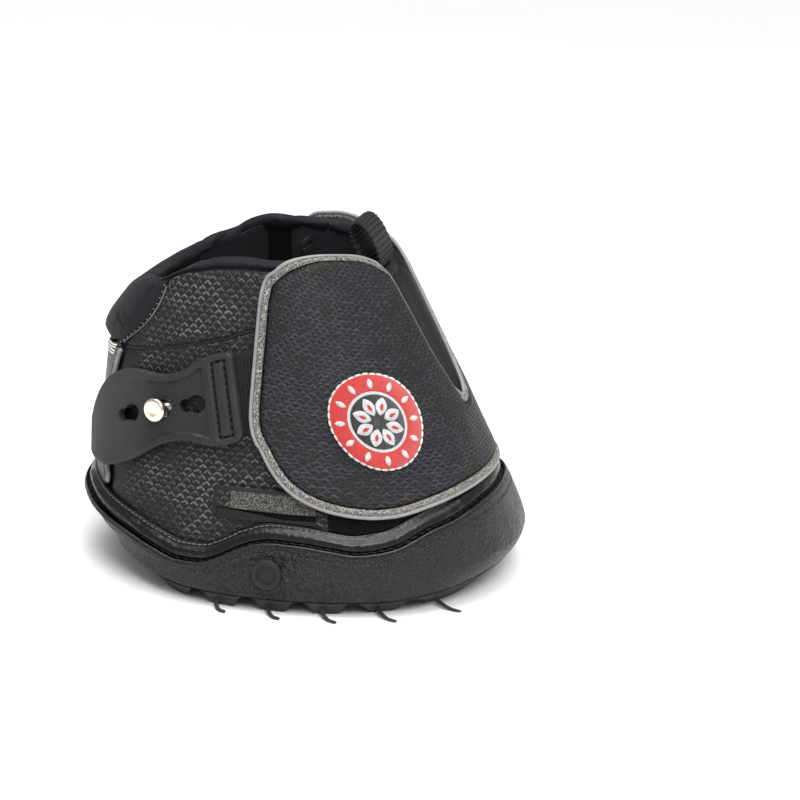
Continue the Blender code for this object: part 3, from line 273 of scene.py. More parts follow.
@dataclass(frozen=True)
class BootLines:
    """The height lines that divide the boot: rim, sole edge, seams and the flap's outline."""

    rim_height: float = 0.1280
    rim_shares: Table = (
        (0, 0.917), (14, 0.920), (28, 0.955), (42, 0.985), (60, 0.996), (95, 1.0), (103, 0.995),
        (111, 0.977), (122, 0.935), (134, 0.895), (149, 0.855), (163, 0.832), (180, 0.825))
    sole_height: float = 0.0385
    sole_shares: Table = (
        (0, 1.0), (17, 0.974), (27, 0.930), (36, 0.870), (44, 0.820), (50, 0.755), (56, 0.680), (61, 0.645),
        (67, 0.625), (73, 0.655), (80, 0.690), (86, 0.700), (89, 0.685), (92, 0.610), (96, 0.500),
        (100, 0.440), (105, 0.436), (113, 0.500), (125, 0.605), (142, 0.700), (156, 0.775), (180, 0.805))
    edge_height: float = 0.0110
    edge_shares: Table = ((0, 1.0), (20, 0.97), (42, 0.72), (60, 0.56), (110, 0.54), (135, 0.60), (180, 0.66))
    seam_height: float = 0.1010
    seam_shares: Table = ((40, 1.0), (92, 0.998), (100, 0.957), (113, 0.913), (125, 0.884), (146, 0.850))
    flap_top_height: float = 0.1300
    flap_top_shares: Table = (
        (-95.5, 0.930), (-95, 0.975), (-93, 0.993), (-89, 1.002), (-80, 1.003), (-66, 0.988), (-50, 0.966),
        (-38, 0.950), (-30, 0.932), (-24, 0.912), (-20, 0.872), (-16, 0.770), (-13, 0.690), (-9, 0.615),
        (-5, 0.563), (0, 0.548), (4, 0.566), (7.5, 0.628), (10.25, 0.688), (13.25, 0.806), (15.2, 0.872),
        (17, 0.912), (19.5, 0.935), (23, 0.952), (29, 0.970), (40, 0.989), (57, 0.998), (66, 1.0),
        (74.5, 0.996), (80, 0.990), (84, 0.984), (88, 0.975), (90.4, 0.956), (91.6, 0.920), (92, 0.870))
    flap_foot_height: float = 0.0435
    flap_foot_shares: Table = (
        (-95.5, 1.05), (-93, 0.95), (-88, 0.88), (-80, 0.85), (-66, 0.85), (-55, 0.865), (-40, 0.905),
        (-24, 0.965), (-12, 0.99), (0, 1.0), (10, 1.0), (21, 0.985), (32, 0.952), (41, 0.917), (48, 0.883),
        (54, 0.856), (60, 0.846), (67, 0.864), (73, 0.900), (79, 0.970), (84, 1.075), (88.6, 1.270),
        (91.2, 1.480), (92, 1.640))
    fold: float = -66.0
    flap_rear: float = 92.0
    shield_rear: float = -95.0
    welt_rise: float = 0.0065
    seat_depth: float = 0.0060
    collar_radius: float = 0.0028
    corner_rise: float = 0.0026

    def rim(self, turn: float) -> float:
        """Height of the collar's top."""
        return self.rim_height * read_table(self.rim_shares, fold_turn(turn))

    def panel_top(self, turn: float) -> float:
        """Height of the panels' top, under the collar roll, higher behind the closure.

        Args:
            turn: Turn in degrees.

        Returns:
            The height.
        """
        turn = turn if turn <= 180 else turn - 360
        rise = self.corner_rise * ease(106, 124, turn) * ease(178, 150, turn)
        return self.rim(turn) - 2 * self.collar_radius - 0.0007 + rise

    def sole_top(self, turn: float) -> float:
        """Height of the cup's wavy upper edge."""
        return self.sole_height * read_table(self.sole_shares, fold_turn(turn))

    def sole_edge(self, turn: float) -> float:
        """Height of the cup's lower edge."""
        return self.edge_height * read_table(self.edge_shares, fold_turn(turn))

    def welt_top(self, turn: float) -> float:
        """Height of the welt band's top."""
        return self.sole_top(turn) + self.welt_rise

    def panel_foot(self, turn: float) -> float:
        """Height where the upper stands in the cup."""
        return self.sole_top(turn) - self.seat_depth

    def seam(self, turn: float) -> float:
        """Height of the cross seam between the lower and upper side panels."""
        return self.seam_height * read_table(self.seam_shares, fold_turn(turn))

    def flap_top(self, turn: float) -> float:
        """Height of the flap's upper edge, with its notch."""
        return self.flap_top_height * read_table(self.flap_top_shares, turn)

    def flap_foot(self, turn: float) -> float:
        """Height of the flap's lower edge."""
        return self.flap_foot_height * read_table(self.flap_foot_shares, turn)


LINES = BootLines()


class Graph:
    """Lays the shader nodes of one material."""

    def __init__(self, name: str) -> None:
        """Start a material with its Principled shader.

        Args:
            name: Name of the material.
        """
        self.material = bpy.data.materials.new(name)
        self.material.use_nodes = True
        self.tree = self.material.node_tree
        self.shader = self.tree.nodes["Principled BSDF"]

    def node(self, kind: str, **settings: object) -> bpy.types.ShaderNode:
        """Add a node and set its properties.

        Args:
            kind: Blender's name of the type.
            settings: Properties to set.

        Returns:
            The node.
        """
        made = self.tree.nodes.new(kind)
        for name, value in settings.items():
            setattr(made, name, value)
        return made

    def feed(self, socket: Socket, value: object) -> None:
        """Link a socket to another, or set its number.

        Args:
            socket: The input.
            value: A number or another socket.
        """
        if isinstance(value, Socket):
            self.tree.links.new(value, socket)
        else:
            socket.default_value = value

    def math(self, operation: str, first: object, second: object = 0.0, third: object = 0.0) -> Socket:
        """The result of one Math node.

        Args:
            operation: Blender's name of the operation.
            first: The first value or socket.
            second: The second, where the operation takes one.
            third: The third, where it takes one.

        Returns:
            The node's output.
        """
        made = self.node("ShaderNodeMath", operation=operation)
        for socket, value in zip(made.inputs, (first, second, third)):
            self.feed(socket, value)
        return made.outputs[0]

    def times(self, first: object, second: object, plus: Optional[object] = None) -> Socket:
        """A value times another, and a third added if given."""
        return self.math("MULTIPLY" if plus is None else "MULTIPLY_ADD", first, second, plus or 0.0)

    def step(self, value: object, low: float, high: float, to_low: float = 0.0,
             to_high: float = 1.0) -> Socket:
        """A smooth step of a value between two limits.

        Args:
            value: The value or socket.
            low: Value where the step starts.
            high: Value where it ends.
            to_low: Result at its start.
            to_high: Result at its end.

        Returns:
            The result.
        """
        made = self.node("ShaderNodeMapRange", interpolation_type="SMOOTHSTEP")
        for socket, given in zip(made.inputs, (value, low, high, to_low, to_high)):
            self.feed(socket, given)
        return made.outputs[0]

    def mix(self, share: object, first: object, second: object) -> Socket:
        """Mix two colours.

        Args:
            share: Share of the second colour.
            first: The first colour.
            second: The second colour.

        Returns:
            The mixed colour.
        """
        made = self.node("ShaderNodeMix", data_type="RGBA")
        self.feed(made.inputs[0], share)
        for socket, colour in ((made.inputs[6], first), (made.inputs[7], second)):
            self.feed(socket, colour if isinstance(colour, Socket) else (*colour, 1.0))
        return made.outputs[2]

    def spot(self) -> Socket:
        """Object coordinates."""
        return self.node("ShaderNodeTexCoord").outputs["Object"]

    def pattern(self) -> tuple[Socket, Socket]:
        """The piece's own map, in metres along and up the surface."""
        split = self.node("ShaderNodeSeparateXYZ")
        self.feed(split.inputs[0], self.node("ShaderNodeTexCoord").outputs["UV"])
        return split.outputs[0], split.outputs[1]

    def noise(self, scale: float, detail: float = 2.0, vector: Optional[object] = None) -> Socket:
        """A noise texture's value.

        Args:
            scale: Scale of the texture.
            detail: Detail of the texture.
            vector: Coordinates, or nothing for the object's own.

        Returns:
            The value.
        """
        made = self.node("ShaderNodeTexNoise")
        self.feed(made.inputs["Vector"], self.spot() if vector is None else vector)
        made.inputs["Scale"].default_value = scale
        made.inputs["Detail"].default_value = detail
        return made.outputs[0]

    def cells(self, scale: float) -> Socket:
        """Distance in a cell texture, for pebbled grain.

        Args:
            scale: Scale of the texture.

        Returns:
            The distance.
        """
        made = self.node("ShaderNodeTexVoronoi")
        self.feed(made.inputs["Vector"], self.spot())
        made.inputs["Scale"].default_value = scale
        return made.outputs["Distance"]

    def bump(self, height: object, distance: float, strength: float = 1.0) -> None:
        """Feed the shader's normal from a height.

        Args:
            height: Height, in metres.
            distance: Depth of the relief.
            strength: Strength of the relief.
        """
        made = self.node("ShaderNodeBump")
        made.inputs["Strength"].default_value = strength
        made.inputs["Distance"].default_value = distance
        self.feed(made.inputs["Height"], height)
        self.feed(self.shader.inputs["Normal"], made.outputs[0])

    def dress(self, colour: object, roughness: object, **values: float) -> Material:
        """Set the shader's colour, roughness and steady values, and return the material.

        Args:
            colour: Colour or socket.
            roughness: Roughness or socket.
            values: Steady values of other inputs.

        Returns:
            The material.
        """
        self.feed(self.shader.inputs["Base Color"],
                  colour if isinstance(colour, Socket) else (*colour, 1.0))
        self.feed(self.shader.inputs["Roughness"], roughness)
        for name, value in values.items():
            self.shader.inputs[name.replace("_", " ").title().replace("Ior", "IOR")].default_value = value
        return self.material


_made: dict[str, Material] = {}


def shade(colour: Colour, factor: float) -> Colour:
    """A colour made lighter or darker by a factor."""
    return tuple(factor * channel for channel in colour)


@dataclass(frozen=True)
class Finish:
    """A surface finish: a name, the record's slot and a way to lay its nodes."""

    name: str
    slot: str

    def lay(self, graph: Graph) -> Material:
        """Lay the nodes; each finish has its own."""
        raise NotImplementedError

    def material(self) -> Material:
        """The material, made once."""
        if self.name not in _made:
            _made[self.name] = self.lay(Graph(self.name))
        return _made[self.name]


@dataclass(frozen=True)
class EmbossedLeather(Finish):
    """Synthetic leather pressed with rows of small chevron scales, painted lighter as highlights where they
    catch the light.
    """

    ground: Colour = (0.0075, 0.0075, 0.0077)
    # colour of the painted highlight on the chevron scales
    painted_highlight: Colour = (0.118, 0.112, 0.103)
    pitch: float = 0.0039
    row: float = 0.00205
    wing: float = 1.30
    width: float = 0.17
    reach: float = 0.37
    lean: float = 0.0
    brick: float = 0.5
    wander: float = 0.0007
    depth: float = 0.00022
    patchy: float = 0.80
    worn: float = 1.0
    gloss: float = 0.46
    plain_from: float = 1.0
    plain_to: float = 1.1

    def lay(self, graph: Graph) -> Material:
        """Rows of chevrons in brick order, painted lighter as highlights, each with its own brightness,
        broken by painted glints and by wear.

        Args:
            graph: The material's graph.

        Returns:
            The material.
        """
        along, up = graph.pattern()
        wander = graph.times(graph.noise(330.0, 1.0), self.wander, -0.5 * self.wander)
        faded = graph.step(graph.math("ABSOLUTE", along), self.plain_to, self.plain_from)
        along = graph.math("ADD", graph.times(up, self.lean, along), wander)
        rows = graph.math("DIVIDE", graph.math("ADD", up, wander), self.row)
        level = graph.math("FLOOR", rows)
        shift = graph.times(graph.math("MODULO", level, 2.0), self.brick)
        column = graph.math("ADD", graph.math("DIVIDE", along, self.pitch), shift)
        side = graph.math("ABSOLUTE", graph.math("SUBTRACT", graph.math("FRACT", column), 0.5))
        inside = graph.math("SUBTRACT", graph.math("FRACT", rows), 0.60)
        bend = graph.math("ABSOLUTE", graph.times(side, self.wing, inside))
        line = graph.step(bend, self.width + 0.16, self.width - 0.06)
        scale = graph.times(line, graph.step(side, self.reach + 0.08, self.reach - 0.05))
        cell = self.each(graph, graph.math("FLOOR", column), level)
        broad = graph.step(graph.noise(30.0, 3.0), 0.40, 0.62, 1.0 - self.patchy, 1.2)
        fine = graph.step(graph.noise(1800.0, 3.0), 0.36, 0.60, 0.15, 1.25)
        shown = graph.times(scale, faded)
        # painted highlight: the raised chevrons take the lighter colour, patchy and sparkling, as the light
        # they would catch
        glint = graph.times(graph.times(shown, broad), graph.times(fine, cell))
        grain = graph.noise(1700.0, 4.0)
        wear = graph.times(graph.step(grain, 0.50, 0.78), self.worn)
        ground = graph.mix(wear, self.ground, shade(self.ground, 4.2))
        height = graph.times(grain, 0.30, shown)
        graph.bump(height, self.depth)
        rough = graph.times(scale, -0.12, self.gloss + 0.10)
        return graph.dress(graph.mix(glint, ground, self.painted_highlight), rough, specular_ior_level=0.22)

    @staticmethod
    def each(graph: Graph, column: object, row: object) -> Socket:
        """A steady random brightness for each scale's painted highlight.

        Args:
            graph: The material's graph.
            column: Column of the scale.
            row: Row of the scale.

        Returns:
            The brightness.
        """
        place = graph.node("ShaderNodeCombineXYZ")
        graph.feed(place.inputs[0], column)
        graph.feed(place.inputs[1], row)
        cell = graph.node("ShaderNodeTexWhiteNoise", noise_dimensions="2D")
        graph.feed(cell.inputs["Vector"], place.outputs[0])
        return graph.step(cell.outputs["Value"], 0.0, 1.0, 0.35, 1.2)


@dataclass(frozen=True)
class Cloth(Finish):
    """Plain knitted or woven cloth: neoprene, lining, thread and hook pile."""

    colour: Colour = (0.006, 0.006, 0.0065)
    grain: float = 2200.0
    contrast: float = 0.5
    depth: float = 0.0001
    rough: float = 0.85
    sheen: float = 0.04
    specular: float = 0.12

    def lay(self, graph: Graph) -> Material:
        """Fine grain with slow cloudy variation.

        Args:
            graph: The material's graph.

        Returns:
            The material.
        """
        grain = graph.noise(self.grain, 3.0)
        cloud = graph.step(graph.noise(45.0, 3.0), 0.3, 0.7, 1.0 - self.contrast, 1.0 + self.contrast)
        light = graph.mix(graph.step(grain, 0.3, 0.75), self.colour, shade(self.colour, 1.9))
        dark = graph.mix(0.5, self.colour, (0.0, 0.0, 0.0))
        graph.bump(grain, self.depth)
        return graph.dress(graph.mix(graph.times(cloud, 0.62), dark, light), self.rough,
                           sheen_weight=self.sheen, specular_ior_level=self.specular)


@dataclass(frozen=True)
class RibbedCloth(Finish):
    """Cloth with close ribs that run up the surface: stretch pad, elastic and webbing."""

    colour: Colour = (0.020, 0.020, 0.022)
    pitch: float = 0.0006
    slant: float = 0.0
    depth: float = 0.00012
    rough: float = 0.75

    def lay(self, graph: Graph) -> Material:
        """A wave across the piece's own map, with fibre noise in its valleys.

        Args:
            graph: The material's graph.

        Returns:
            The material.
        """
        along, up = graph.pattern()
        lean = graph.times(up, self.slant, along)
        wave = graph.math("SINE", graph.times(lean, 2 * pi / self.pitch))
        fibre = graph.noise(2800.0, 2.0)
        height = graph.times(fibre, 0.6, wave)
        colour = graph.mix(graph.step(height, -0.7, 1.3), shade(self.colour, 0.35), shade(self.colour, 1.8))
        graph.bump(height, self.depth)
        return graph.dress(colour, self.rough, sheen_weight=0.03, specular_ior_level=0.18)


@dataclass(frozen=True)
class MouldedRubber(Finish):
    """Moulded rubber with a pebbled skin and slow changes of gloss."""

    colour: Colour = (0.016, 0.016, 0.017)
    pebble: float = 900.0
    depth: float = 0.00012
    rough: float = 0.42
    rough_spread: float = 0.14
    specular: float = 0.30
    # share of light grey specks: a little dust, and painted sparkle highlights where the share is large
    dust_and_glints: float = 0.12
    coarse: float = 0.0

    def lay(self, graph: Graph) -> Material:
        """Cells and noise for the pebbling, cloudy gloss, and light grey specks that are partly dust and
        partly painted sparkle highlights.

        Args:
            graph: The material's graph.

        Returns:
            The material.
        """
        cell = graph.cells(self.pebble)
        if self.coarse:
            patch = graph.step(graph.noise(34.0, 2.0), 0.42, 0.60, 0.0, 2.2)
            cell = graph.times(graph.cells(self.coarse), patch, cell)
        fine = graph.noise(self.pebble * 2.6, 2.0)
        cloud = graph.step(graph.noise(30.0, 4.0), 0.35, 0.70)
        # light grey specks: dust, and on the sidewall mostly painted sparkle highlights
        dust_and_glints = graph.step(graph.noise(2900.0, 1.0), 0.66, 0.76)
        colour = graph.mix(cloud, shade(self.colour, 0.75), shade(self.colour, 1.35))
        colour = graph.mix(graph.times(dust_and_glints, self.dust_and_glints), colour, (0.22, 0.22, 0.22))
        graph.bump(graph.times(fine, 0.8, cell), self.depth)
        rough = graph.times(cloud, self.rough_spread, self.rough)
        return graph.dress(colour, rough, specular_ior_level=self.specular)


@dataclass(frozen=True)
class GlitterTape(Finish):
    """Woven reflective tape: beige grey, speckled light and dark."""

    colour: Colour = (0.40, 0.38, 0.345)
    dark: Colour = (0.050, 0.047, 0.043)
    speck: float = 2100.0
    rough: float = 0.50

    def lay(self, graph: Graph) -> Material:
        """Speckles of two sizes.

        Args:
            graph: The material's graph.

        Returns:
            The material.
        """
        fine = graph.step(graph.noise(self.speck, 3.0), 0.44, 0.60)
        coarse = graph.step(graph.noise(self.speck * 0.35, 2.0), 0.35, 0.65, 0.45, 1.0)
        share = graph.times(fine, coarse)
        graph.bump(share, 0.0001)
        return graph.dress(graph.mix(share, self.dark, self.colour), self.rough, specular_ior_level=0.4)


@dataclass(frozen=True)
class SmoothCord(Finish):
    """Smooth vinyl piping cord, light grey with faint handling marks."""

    colour: Colour = (0.235, 0.24, 0.25)

    def lay(self, graph: Graph) -> Material:
        """Cloudy grey with faint scuffs.

        Args:
            graph: The material's graph.

        Returns:
            The material.
        """
        cloud = graph.step(graph.noise(160.0, 4.0), 0.3, 0.7)
        scuff = graph.step(graph.noise(1400.0, 2.0), 0.60, 0.75)
        colour = graph.mix(cloud, shade(self.colour, 0.80), self.colour)
        colour = graph.mix(graph.times(scuff, 0.25), colour, shade(self.colour, 0.4))
        graph.bump(scuff, 0.00005)
        return graph.dress(colour, graph.times(cloud, 0.15, 0.38))


@dataclass(frozen=True)
class TurnedMetal(Finish):
    """Polished rose-tinted metal with fine turning marks."""

    colour: Colour = (0.86, 0.75, 0.62)

    def lay(self, graph: Graph) -> Material:
        """Metal with smudges in its gloss.

        Args:
            graph: The material's graph.

        Returns:
            The material.
        """
        smudge = graph.step(graph.noise(420.0, 3.0), 0.35, 0.70)
        fine = graph.noise(5200.0, 2.0)
        graph.bump(fine, 0.00002)
        colour = graph.mix(smudge, shade(self.colour, 0.9), self.colour)
        return graph.dress(colour, graph.times(smudge, 0.12, 0.16), metallic=1.0)


@dataclass(frozen=True)
class SatinStitch(Finish):
    """Embroidery: close parallel threads with a soft sheen."""

    colour: Colour = (0.62, 0.03, 0.03)
    pitch: float = 0.00042
    turn: float = 0.6

    def lay(self, graph: Graph) -> Material:
        """A slanted thread wave broken into short stitches.

        Args:
            graph: The material's graph.

        Returns:
            The material.
        """
        along, up = graph.pattern()
        lean = graph.times(up, self.turn, along)
        cross = graph.times(along, -self.turn, up)
        wave = graph.math("SINE", graph.times(lean, 2 * pi / self.pitch))
        row = graph.math("FLOOR", graph.math("DIVIDE", cross, 0.0016))
        place = graph.math("FRACT", graph.times(row, 0.37, graph.math("DIVIDE", lean, 0.0030)))
        gap = graph.step(graph.math("ABSOLUTE", graph.math("SUBTRACT", place, 0.5)), 0.44, 0.49)
        height = graph.math("SUBTRACT", wave, graph.times(gap, 1.5))
        colour = graph.mix(graph.step(height, -1.6, 0.6), shade(self.colour, 0.45), self.colour)
        graph.bump(height, 0.00010)
        return graph.dress(colour, 0.55, sheen_weight=0.3)


class Bench:
    """Common steps for forming, finishing and hanging pieces."""

    cloth_scale: float = 10.0
    cloth_frames: int = 20

    def __init__(self) -> None:
        """Keep the list of finished pieces for the closing report."""
        self.done: list[str] = []

    @staticmethod
    def only(piece: Piece) -> None:
        """Select one object alone and make it active.

        Args:
            piece: The piece.
        """
        bpy.ops.object.select_all(action="DESELECT")
        piece.select_set(True)
        bpy.context.view_layer.objects.active = piece

    def formed(self, name: str, columns: int, rows: int, spot: Spot, pattern: Optional[Spot] = None,
               merge: bool = False, flip: bool = True) -> Piece:
        """Add a grid and shape it: every vertex goes where spot(u, v) says.

        Args:
            name: Name of the piece.
            columns: Steps along u.
            rows: Steps along v.
            spot: The place for u and v, each from 0 to 1.
            pattern: The piece's own map for u and v, in metres.
            merge: Join vertices that fall together, for closed rings and poles.
            flip: Turn the faces over, as a surface on the wall needs.

        Returns:
            The shaped piece.
        """
        bpy.ops.object.select_all(action="DESELECT")
        bpy.ops.mesh.primitive_grid_add(x_subdivisions=columns, y_subdivisions=rows, size=2.0)
        piece = bpy.context.object
        piece.name = piece.data.name = name
        mesh = piece.data
        shares = [((v.co.x + 1) / 2, (v.co.y + 1) / 2) for v in mesh.vertices]
        if pattern is not None:
            layer = mesh.uv_layers.active or mesh.uv_layers.new(name="UVMap")
            places = [pattern(u, v) for u, v in shares]
            for loop in mesh.loops:
                layer.data[loop.index].uv = places[loop.vertex_index][:2]
        for vertex, (u, v) in zip(mesh.vertices, shares):
            vertex.co = spot(u, v)
        if flip:
            mesh.flip_normals()
        if merge:
            self.merge(piece, 2e-6, slim=True)
        return piece

    @staticmethod
    def merge(piece: Piece, distance: float, outwards: bool = True, fill: bool = False,
              slim: bool = False) -> None:
        """Merge vertices that fall together.

        Args:
            piece: The piece.
            distance: How close they have to be.
            outwards: Turn the faces of the closed shell outwards.
            fill: Close its open ends first.
            slim: Dissolve edges and faces that shrank to nothing.
        """
        shape = bmesh.new()
        shape.from_mesh(piece.data)
        bmesh.ops.remove_doubles(shape, verts=shape.verts, dist=distance)
        if slim:
            bmesh.ops.dissolve_degenerate(shape, edges=shape.edges, dist=1e-7)
        if fill:
            bmesh.ops.holes_fill(shape, edges=[edge for edge in shape.edges if edge.is_boundary], sides=0)
        if outwards:
            bmesh.ops.recalc_face_normals(shape, faces=shape.faces)
        shape.to_mesh(piece.data)
        shape.free()

    def apply(self, piece: Piece, kind: str, **settings: object) -> None:
        """Add a modifier with its settings and apply it.

        Args:
            piece: The piece.
            kind: Blender's name of the type.
            settings: Properties to set.
        """
        self.only(piece)
        modifier = piece.modifiers.new(kind.lower(), kind)
        for name, value in settings.items():
            setattr(modifier, name, value)
        bpy.ops.object.modifier_apply(modifier=modifier.name)

    def thicken(self, piece: Piece, thickness: float, rim: float = 0.0004, segments: int = 2) -> None:
        """Give a sheet its thickness, inwards from its outer face, and round its rims.

        Args:
            piece: The piece.
            thickness: Thickness, inwards.
            rim: Width of the rounded rims.
            segments: Steps of each rounding.
        """
        self.apply(piece, "SOLIDIFY", thickness=thickness, offset=-1.0, use_even_offset=True)
        if rim > 0:
            self.apply(piece, "BEVEL", width=rim, segments=segments, limit_method="ANGLE",
                       angle_limit=radians(50), use_clamp_overlap=True)

    def cut(self, piece: Piece, cutter: Piece) -> None:
        """Cut a piece with another, which goes away."""
        self.apply(piece, "BOOLEAN", object=cutter, operation="DIFFERENCE", solver="EXACT")
        bpy.data.objects.remove(cutter)

    def puff(self, piece: Piece, free: Callable[[Vector], float], pressure: float = 4.0,
             most: float = 0.0008) -> None:
        """Let the cloth of a padded piece swell between its seams, as a simulation on a copy.

        The copy is ten times as large, so that the cloth's own scale suits the small piece.

        Args:
            piece: The finished padded piece.
            free: How free a point is, from 0 at a seam to 1.
            pressure: Air pressure inside.
            most: How far a point may move.
        """
        copy = piece.copy()
        copy.data = piece.data.copy()
        bpy.context.scene.collection.objects.link(copy)
        group = copy.vertex_groups.new(name="seam")
        for vertex, own in zip(copy.data.vertices, piece.data.vertices):
            group.add([vertex.index], 1.0 - free(own.co), "REPLACE")
            vertex.co *= self.cloth_scale
        cloth = copy.modifiers.new("cloth", "CLOTH")
        cloth.settings.quality = 4
        cloth.settings.mass = 0.3
        cloth.settings.vertex_group_mass = "seam"
        cloth.settings.use_pressure = True
        cloth.settings.uniform_pressure_force = pressure
        cloth.settings.shrink_min = -0.03
        cloth.settings.effector_weights.gravity = 0.0
        cloth.collision_settings.use_collision = False
        cloth.point_cache.frame_end = self.cloth_frames
        for moment in range(1, self.cloth_frames + 1):
            bpy.context.scene.frame_set(moment)
        settled = copy.evaluated_get(bpy.context.evaluated_depsgraph_get())
        moved = [vertex.co / self.cloth_scale for vertex in settled.data.vertices]
        for vertex, place in zip(piece.data.vertices, moved):
            move = place - vertex.co
            vertex.co += move * min(1.0, most / max(move.length, 1e-9))
        bpy.data.objects.remove(copy, do_unlink=True)
        bpy.context.scene.frame_set(1)

    def joined(self, name: str, pieces: Sequence[Piece]) -> Piece:
        """Join several meshes into one piece.

        Args:
            name: Name of the piece.
            pieces: The meshes, the first kept.

        Returns:
            The joined piece.
        """
        bpy.ops.object.select_all(action="DESELECT")
        for piece in pieces:
            piece.select_set(True)
        bpy.context.view_layer.objects.active = pieces[0]
        if len(pieces) > 1:
            bpy.ops.object.join()
        pieces[0].name = pieces[0].data.name = name
        return pieces[0]

    def finish(self, piece: Piece, finish: Finish, body: Optional[Body], *stands_for: str,
               angle: float = 40.0) -> Piece:
        """Smooth, dress and hang a piece.

        Args:
            piece: The finished mesh.
            finish: Its surface finish.
            body: The CAD body it rides on, or nothing for a piece that spans two, which is then left
                unattached.
            stands_for: CAD nodes that it replaces.
            angle: Edges sharper than this stay crisp, in degrees.

        Returns:
            The piece.
        """
        self.only(piece)
        bpy.ops.object.shade_smooth_by_angle(angle=radians(angle))
        piece.data.materials.clear()
        piece.data.materials.append(finish.material())
        if body is not None:
            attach(piece, body.value)
        if stands_for:
            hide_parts(*stands_for)
        self.done.append(piece.name)
        log.info("%s: %d faces, %s", piece.name, len(piece.data.polygons), finish.name)
        return piece


BENCH = Bench()


def on_wall(place: Place, offset: Depth) -> Spot:
    """A spot on the wall for u and v, from a place in turn and height and an offset there.

    Args:
        place: Place function of the sheet.
        offset: Offset at a turn and height.

    Returns:
        A function from u and v to a point.
    """
    def spot(u: float, v: float) -> Vector:
        """The wall's point for u and v."""
        turn, height = place(u, v)
        return WALL.point(turn, height, offset(turn, height))
    return spot


def wall_pattern(place: Place) -> Spot:
    """The own map of a sheet on the wall, in metres along and up.

    Args:
        place: Place function of the sheet.

    Returns:
        A function from u and v to the map's place.
    """
    cache: dict[float, float] = {}

    def pattern(u: float, v: float) -> Vector:
        """Arc length and slope length for u and v.

        Args:
            u: Share along u, 0 to 1.
            v: Share along v, 0 to 1.

        Returns:
            The map's place.
        """
        turn, height = place(u, v)
        key = round(turn, 3)
        if key not in cache:
            cache[key] = WALL.arc(turn)
        lean = 1.03 + 0.11 * max(cos(radians(turn)), 0.0)
        return Vector((cache[key], height * lean, 0.0))
    return pattern


def wall_sheet(name: str, columns: int, rows: int, place: Place, outer: Depth, thickness: float,
               rim: float = 0.0004) -> Piece:
    """A sheet on the wall with its outer face at an offset, its thickness inwards and rounded rims.

    Args:
        name: Name of the piece.
        columns: Steps along u.
        rows: Steps along v.
        place: Place function of the sheet.
        outer: Offset of the outer face.
        thickness: Thickness, inwards.
        rim: Width of the rounded rims.

    Returns:
        The sheet, not yet dressed.
    """
    sheet = BENCH.formed(name, columns, rows, on_wall(place, outer), wall_pattern(place))
    BENCH.thicken(sheet, thickness, rim)
    return sheet


def nearest(points: Sequence[Vector]) -> KDTree:
    """A search tree over points.

    Args:
        points: The points.

    Returns:
        The balanced tree.
    """
    tree = KDTree(len(points))
    for index, point in enumerate(points):
        tree.insert(point, index)
    tree.balance()
    return tree


def strip_place(start: float, end: float, low: Line, high: Line) -> Place:
    """Place function of a strip between two turns and two height lines.

    Args:
        start: Turn where it starts.
        end: Turn where it ends.
        low: Height line of its foot.
        high: Height line of its top.

    Returns:
        A function from u and v to turn and height.
    """
    def place(u: float, v: float) -> Pair:
        """Turn and height for u and v."""
        turn = lerp(start, end, u)
        return turn, lerp(low(turn), high(turn), v)
    return place


@dataclass
class Path:
    """A run of points with the surface's normal at each, for cords, tapes and stitches."""

    points: list[Vector]
    normals: list[Vector]
    closed: bool = False

    @classmethod
    def on_wall(cls, places: Sequence[Pair], offset: float | Depth, closed: bool = False) -> "Path":
        """A path over the wall through places in turn and height."""
        points = [WALL.point(*place, offset(*place) if callable(offset) else offset) for place in places]
        return cls(points, [WALL.normal(*place) for place in places], closed)

    def lengths(self) -> list[float]:
        """Running length at each point, and once more at the start of a closed path."""
        total, out = 0.0, [0.0]
        ends = self.points[1:] + (self.points[:1] if self.closed else [])
        for here, there in zip(self.points, ends):
            total += (there - here).length
            out.append(total)
        return out

    def resampled(self, step: float) -> "Path":
        """The same path with even steps of about the given length.

        Args:
            step: Length of a step.

        Returns:
            The new path.
        """
        lengths = self.lengths()
        total = lengths[-1]
        count = max(4, round(total / step))
        points, normals = [], []
        ends = self.points + (self.points[:1] if self.closed else [])
        faces = self.normals + (self.normals[:1] if self.closed else [])
        index = 0
        for number in range(count if self.closed else count + 1):
            at = total * number / count
            while index < len(lengths) - 2 and lengths[index + 1] < at:
                index += 1
            span = max(lengths[index + 1] - lengths[index], 1e-9)
            share = clamp((at - lengths[index]) / span, 0.0, 1.0)
            points.append(ends[index].lerp(ends[index + 1], share))
            normals.append(faces[index].lerp(faces[index + 1], share).normalized())
        return Path(points, normals, self.closed)

    def eased(self, times: int) -> "Path":
        """The path with its corners relaxed.

        Args:
            times: How often it is relaxed.

        Returns:
            The relaxed path.
        """
        points = list(self.points)
        count = len(points)
        for _ in range(times):
            last = list(points)
            span = range(count) if self.closed else range(1, count - 1)
            for i in span:
                points[i] = last[i] * 0.5 + (last[(i - 1) % count] + last[(i + 1) % count]) * 0.25
        return Path(points, self.normals, self.closed)

    def tangent(self, index: int) -> Vector:
        """Direction of the path at a point.

        Args:
            index: Index of the point.

        Returns:
            The unit direction.
        """
        count = len(self.points)
        if self.closed:
            return (self.points[(index + 1) % count] - self.points[index - 1]).normalized()
        return (self.points[min(index + 1, count - 1)] - self.points[max(index - 1, 0)]).normalized()


